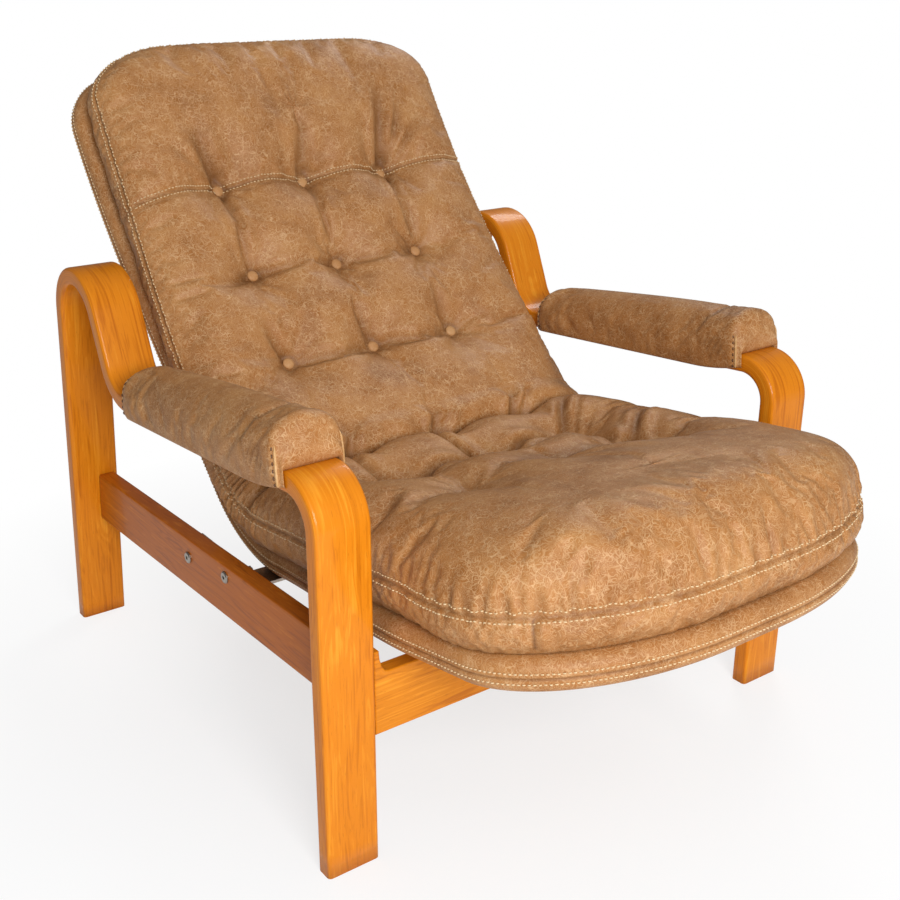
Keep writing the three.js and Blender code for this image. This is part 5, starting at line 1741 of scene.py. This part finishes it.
@dataclass
class ArmPads:
    """The leather pads on the arms, folded over the strip and stitched."""

    datum: Datum
    finishes: Finishes
    frames: BentFrames
    wall: float = 8.0
    gap: float = 0.4
    start: float = 18.0
    front_rise: float = 52.0
    rear_rise: float = 31.0
    top_round: float = 26.0
    end_round: float = 15.0
    end_drop: float = 0.35
    lift: float = 9.0
    lift_run: float = 80.0
    crown: float = 4.0
    flap: float = 2.0
    swell: float = 6.0
    welt: float = 1.5
    slit_low: float = -10.0
    slit_high: float = 40.0
    puckers: tuple[tuple[float, float, float], ...] = ((19.0, 1.6, 22.0), (27.0, 2.2, 20.0),
        (35.0, 1.7, 24.0), (44.0, 1.3, 18.0), (56.0, 0.9, 26.0))
    top_creases: tuple[float, ...] = (22.0, 37.0, 61.0)
    cast: float = 20.0  # how far outside and inside a slit its ray runs

    @property
    def length(self) -> float:
        """Length of a pad along the arm."""
        return self.frames.arm_run - self.start

    def over_arm(self, x: np.ndarray, t: np.ndarray, v: np.ndarray) -> np.ndarray:
        """Carry pad places onto the arm: x across, t back along, v up from it."""
        y0, z0 = self.frames.arm_start
        fall = self.frames.arm_fall
        return np.stack([x, y0 + t * math.cos(fall) + v * math.sin(fall),
            z0 - t * math.sin(fall) + v * math.cos(fall)], -1)

    def section(self, t: float) -> tuple[np.ndarray, np.ndarray]:
        """Outer and inner path of the pad's section at t, as x and v.

        Args:
            t: distance from the pad's front end.

        Returns:
            The outer path over the top and the inner one round the strip,
            with the same number of points each.
        """
        half_strip = self.frames.width / 2
        deep = self.frames.thickness / 2
        share = min(min(t, self.length - t) / self.end_round, 1.0)
        swell = math.sqrt(max(1 - (1 - share) ** 2, 0.0))
        rise = self.front_rise + (self.rear_rise - self.front_rise) * t / self.length
        top = deep + rise * (1 - self.end_drop * (1 - swell))
        half_pad = half_strip + self.wall
        wide = half_pad - self.wall / 2 * (1 - swell)
        rounding = min(self.top_round, top - deep - self.gap)
        lift = self.lift * max(1 - t / self.lift_run, 0.0) ** 2
        low = -deep - self.gap - self.flap + lift
        lip = self.wall / 2
        path = [(wide - lip, low), (wide - lip / 3, low + lip / 4), (wide, low + lip)]
        bulge = 1.6 * swell
        straight_top = top - rounding
        for i in range(1, 9):
            k = i / 9
            path.append((wide + bulge * math.sin(math.pi * k),
                low + lip + (straight_top - low - lip) * k))
        for i in range(13):
            turn = math.radians(90 * i / 12)
            path.append((wide - rounding + rounding * math.cos(turn),
                straight_top + rounding * math.sin(turn)))
        flat = wide - rounding
        for i in range(1, 5):
            x = flat * (1 - i / 5)
            path.append((x, top + self.crown * (1 - (x / max(flat, 1)) ** 2)))
        path.append((0.0, top + self.crown))
        outer = np.array(path + [(-x, v) for x, v in path[-2::-1]])
        slot, slot_top = half_strip + self.gap, deep + self.gap
        hole = np.array([(slot, low), (slot, slot_top), (-slot, slot_top), (-slot, low)],
            dtype=float)
        walked = walk_along(hole)
        corner = walked[1] / walked[-1]
        spread = np.linspace(0, 1, len(outer))
        spread = np.interp(spread, [0, 0.22, 0.5, 0.78, 1], [0, corner, 0.5, 1 - corner, 1])
        inner = resampled(hole, walked, spread * walked[-1])
        return outer, inner

    def build(self) -> None:
        """Make both pads and their closing straps."""
        stations = np.concatenate([self.end_round * np.array([0, 0.04, 0.12, 0.25, 0.45, 0.7]),
            np.linspace(self.end_round, self.length - self.end_round, 84),
            self.length - self.end_round * np.array([0.7, 0.45, 0.25, 0.12, 0.04, 0])])
        for side, sign in SIDES:
            centre = sign * (self.frames.overall_width - self.frames.width) / 2
            outers, inners, marks = [], [], []
            for t in stations:
                outer, inner = self.section(float(t))
                outer, pressed = self.wrinkle(outer, float(t))
                marks.append(pressed)
                outers.append(self.place(centre, outer, t))
                inners.append(self.place(centre, inner, t))
            caps = []
            for index, ahead in ((0, -1.0), (len(stations) - 1, 1.0)):
                t = stations[index]
                outer, inner = self.section(float(t))
                cap = []
                for k in np.linspace(0, 1, 9)[1:-1]:
                    bulge = ahead * 5.0 * math.sin(math.pi * k)
                    cap.append(self.place(centre, outer * (1 - k) + inner * k, t + bulge))
                caps.append(cap)
            rows = outers + caps[1] + inners[::-1] + caps[0][::-1] + [outers[0]]
            points = np.concatenate(rows)
            count = len(outers[0])
            faces = grid_faces(len(rows), count, False).tolist()
            total = len(outers)
            depth_rows = len(caps[1])
            back = 2 * total + depth_rows - 1
            for edge in (0, count - 1):
                for r in range(total - 1):
                    a, b = r * count + edge, (r + 1) * count + edge
                    c, d = (back - r - 1) * count + edge, (back - r) * count + edge
                    faces.append([a, b, c, d] if edge else [d, c, b, a])
                for ends in (range(total - 1, total + depth_rows + 1),
                    (*range(back, back + depth_rows + 1), 0)):
                    faces.append([r * count + edge for r in ends])
            # Painted shade in the pad's puckers and creases, through the fold mark.
            fold = np.zeros((len(rows), count))
            fold[:total] = marks
            fold[-1] = marks[0]
            held = np.ones((len(rows), count))
            held[4 : total - 4, 3:-3] = 0.0
            cover = CoverSlack(slack=0.02, cap=self.swell, pressure=3.0)
            points = cover.settle(points * MM, faces, held.ravel()) / MM
            pad = make_piece(f"arm_cushion_{side}", self.datum.room(points), faces,
                self.finishes.leather, [f"arm_pad_{side}"], weld=2e-5,
                marks={"fold": fold.ravel()})
            self.strap(side, centre)
            self.slits(side, centre, pad)

    def wrinkle(self, outer: np.ndarray, t: float) -> tuple[np.ndarray, np.ndarray]:
        """Press the puckers behind the end slits into a section.

        Args:
            outer: the section's outer path, as x and v.
            t: distance from the pad's front end.

        Returns:
            The pressed path and how much painted shade each place gets in the puckers and creases.
        """
        x, v = outer[:, 0], outer[:, 1]
        turn = np.gradient(outer, axis=0)
        out = unit(np.stack([turn[:, 1], -turn[:, 0]], -1))
        on_side = np.clip((np.abs(x) - self.frames.width / 2 + 14) / 10, 0, 1)
        pressed = np.zeros(len(x))
        for start, depth, height in self.puckers:
            for from_end, share in ((t, 1.0), (self.length - t, 0.55)):
                line = start + 0.45 * (v - 8.0)
                pressed += share * depth * bell(from_end - line, 2.4) * bell(v - height, 15.0)
        pressed *= on_side
        for start in self.top_creases:
            pressed += 0.8 * (1 - on_side) * bell(t - start - 0.12 * x, 3.4)
        # Painted shade: the pucker depth becomes the fold mark.
        return outer - out * pressed[:, None], np.clip(pressed / 3.2, 0, 0.5)

    def slits(self, side: str, centre: float, pad: bpy.types.Object) -> None:
        """Lay the pale leather edge and the stitches on the corner slits.

        Args:
            side: left or right.
            centre: x of the frame's middle.
            pad: the pad that they lie on.
        """
        work = bmesh.new()
        work.from_mesh(pad.data)
        tree = BVHTree.FromBMesh(work)
        work.free()
        sewing = Stitching(self.datum, self.finishes, pitch=8.0, length=4.5, radius=0.9,
            thread=self.finishes.slit_thread)
        points, faces = [], []
        sides = 8
        for ahead, end in ((-1.0, 0.0), (1.0, self.length)):
            for across in (-1.0, 1.0):
                path, away = [], []
                reach = self.frames.width / 2 + self.wall
                for v in np.linspace(self.slit_low, self.slit_high, 26):
                    origin, inner = (Vector(self.datum.room(self.place(centre,
                        np.array([[across * (reach + step), v]]), end + ahead * step))[0])
                        for step in (self.cast, -self.cast))
                    heading = (inner - origin).normalized()
                    place = tree.ray_cast(origin, heading)[0]
                    if place is not None:
                        path.append(self.datum.own(place))
                        away.append(-np.array(heading))
                if len(path) < 8:
                    continue
                path, away = np.array(path), np.array(away)
                beside = unit(np.cross(unit(np.gradient(path, axis=0)), away))
                girth = self.welt * np.sqrt(np.clip(np.linspace(0, 1, len(path)) * 8, 0.05, 1))
                girth = np.minimum(girth, girth[::-1])
                base = sum(len(p) for p in points)
                points.append(tubed(path, beside, away, girth, sides).reshape(-1, 3))
                faces += (grid_faces(len(path), sides, True) + base).tolist()
                faces.append([base + i for i in range(sides)][::-1])
                last = base + (len(path) - 1) * sides
                faces.append([last + i for i in range(sides)])
                front = -ahead * across
                sewing.run(path + beside * (3.4 * front) + away * -0.6, away)
        if points:
            make_piece(f"pad_slit_edge_{side}", self.datum.room(np.concatenate(points)), faces,
                self.finishes.edge)
            sewing.finish(f"pad_slit_stitches_{side}")

    def place(self, centre: float, flat: np.ndarray, t: float) -> np.ndarray:
        """Put a flat path across the arm at t."""
        return self.over_arm(centre + flat[:, 0], np.full(len(flat), float(t)), flat[:, 1])

    def strap(self, side: str, centre: float) -> None:
        """Make the strap that closes a pad under the strip.

        Args:
            side: left or right.
            centre: x of the frame's middle.
        """
        high = -self.frames.thickness / 2 - self.gap
        low = high - self.flap + 0.2
        reach = self.frames.width / 2
        lip = 0.9
        ring = np.array([(-reach, low + lip), (-reach + lip, low), (reach - lip, low),
            (reach, low + lip), (reach, high - 0.2), (-reach, high - 0.2)])
        stations = np.linspace(self.lift_run, self.length - self.end_round, 30)
        rows = [self.place(centre, ring, t) for t in stations]
        faces = grid_faces(len(rows), len(ring), True).tolist()
        faces += [[5, 4, 3, 2, 1, 0], [(len(rows) - 1) * 6 + i for i in range(6)]]
        make_piece(f"pad_strap_{side}", self.datum.room(np.concatenate(rows)), faces,
            self.finishes.leather, [f"arm_pad_flap_{side}"], weld=1e-6)


# --------------------------------------------------------------------- studio


@dataclass(frozen=True)
class Studio:
    """White floor, soft light from the upper right and the photo's camera."""

    camera_place: tuple[float, float, float] = (-0.9414, -1.2803, 0.9697)
    azimuth: float = math.radians(-36.363)
    elevation: float = math.radians(21.569)
    roll: float = math.radians(0.194)
    lens: float = 49.85
    fill: float = 0.44
    mirrored: float = 0.15  # what the room looks like in the lacquer
    key_power: float = 66.0

    def build(self) -> None:
        """Set the floor, the lamps, the world and the camera."""
        scene = bpy.context.scene
        scene.view_settings.view_transform = "Standard"
        self.camera(scene)
        mesh = bpy.data.meshes.new("studio_floor")
        reach, steps = 9.0, 12
        places = np.linspace(-reach, reach, steps)
        grid = np.array([(x, y, 0.0) for y in places for x in places])
        mesh.from_pydata(grid.tolist(), [], grid_faces(steps, steps, False).tolist())
        mesh.materials.append(PaperSweep().make())
        floor = bpy.data.objects.new("studio_floor", mesh)
        scene.collection.objects.link(floor)
        world, node = blank(bpy.data.worlds, "studio_world")
        rays = node("LightPath", out=None).outputs
        seen = node("Math", {0: rays["Is Camera Ray"], 1: rays["Is Transmission Ray"]},
            operation="MAXIMUM")
        soft = node("Background", {"Color": linear("#f4f6fa"), "Strength": self.fill})
        white = node("Background", {"Color": (1, 1, 1, 1), "Strength": 1.0})
        dim = node("Background", {"Color": linear("#f4f6fa"), "Strength": self.mirrored})
        lit = node("MixShader", {0: rays["Is Glossy Ray"], 1: soft, 2: dim})
        mixed = node("MixShader", {0: seen, 1: lit, 2: white})
        node("OutputWorld", {"Surface": mixed}, out=None)
        scene.world = world
        self.lamp("key_softbox", (-0.9, -2.4, 1.4), (0.0, -0.1, 0.45), 1.1, self.key_power)
        self.lamp("back_softbox", (1.7, 1.1, 2.3), (0.0, 0.0, 0.3), 0.8, self.key_power * 0.28)

    def camera(self, scene: bpy.types.Scene) -> None:
        """Put the camera where the photograph was taken from."""
        back = Vector((math.sin(self.azimuth) * math.cos(self.elevation),
            -math.cos(self.azimuth) * math.cos(self.elevation), math.sin(self.elevation)))
        level = (-back).cross(Vector((0, 0, 1))).normalized()
        rise = level.cross(-back)
        right = math.cos(self.roll) * level + math.sin(self.roll) * rise
        up = -math.sin(self.roll) * level + math.cos(self.roll) * rise
        data = bpy.data.cameras.new("photo_camera")
        data.lens = self.lens
        data.sensor_width = 36.0
        camera = bpy.data.objects.new("photo_camera", data)
        turned = Matrix((right, up, back)).transposed().to_4x4()
        camera.matrix_world = Matrix.Translation(Vector(self.camera_place)) @ turned
        scene.collection.objects.link(camera)
        scene.camera = camera

    def lamp(self, name: str, place: tuple[float, float, float], aim: tuple[float, float, float],
        size: float, power: float) -> None:
        """Hang one square softbox.

        Args:
            name: its name.
            place: where it hangs, in metres.
            aim: what it points at.
            size: side in metres.
            power: watts.
        """
        data = bpy.data.lights.new(name, "AREA")
        data.shape = "SQUARE"
        data.size = size
        data.energy = power
        lamp = bpy.data.objects.new(name, data)
        lamp.location = place
        lamp.rotation_euler = (Vector(aim) - Vector(place)).to_track_quat("-Z", "Y").to_euler()
        bpy.context.scene.collection.objects.link(lamp)


def main() -> None:
    """Load the frame, build the chair's looks and the studio."""
    logging.basicConfig(level=logging.INFO, format="%(name)s %(message)s")
    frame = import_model()
    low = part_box("side_frame_left")[0]
    datum = Datum(front_face=low.y)
    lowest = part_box("shell_back_upholstery")[0].z / MM
    line = SeatLine.under(lowest)
    finishes = Finishes.make()
    Studio().build()
    frames = BentFrames(datum, finishes)
    frames.build()
    Boards(finishes, frame["nodes"]).build()
    shell = ShellCover(datum, finishes, line)
    shell.build()
    cushion = MainCushion(datum, finishes, line)
    cushion.build()
    Seams(datum, finishes, cushion, shell).build()
    Buttons(datum, finishes, cushion).build()
    ArmPads(datum, finishes, frames).build()


if __name__ == "__main__":
    main()
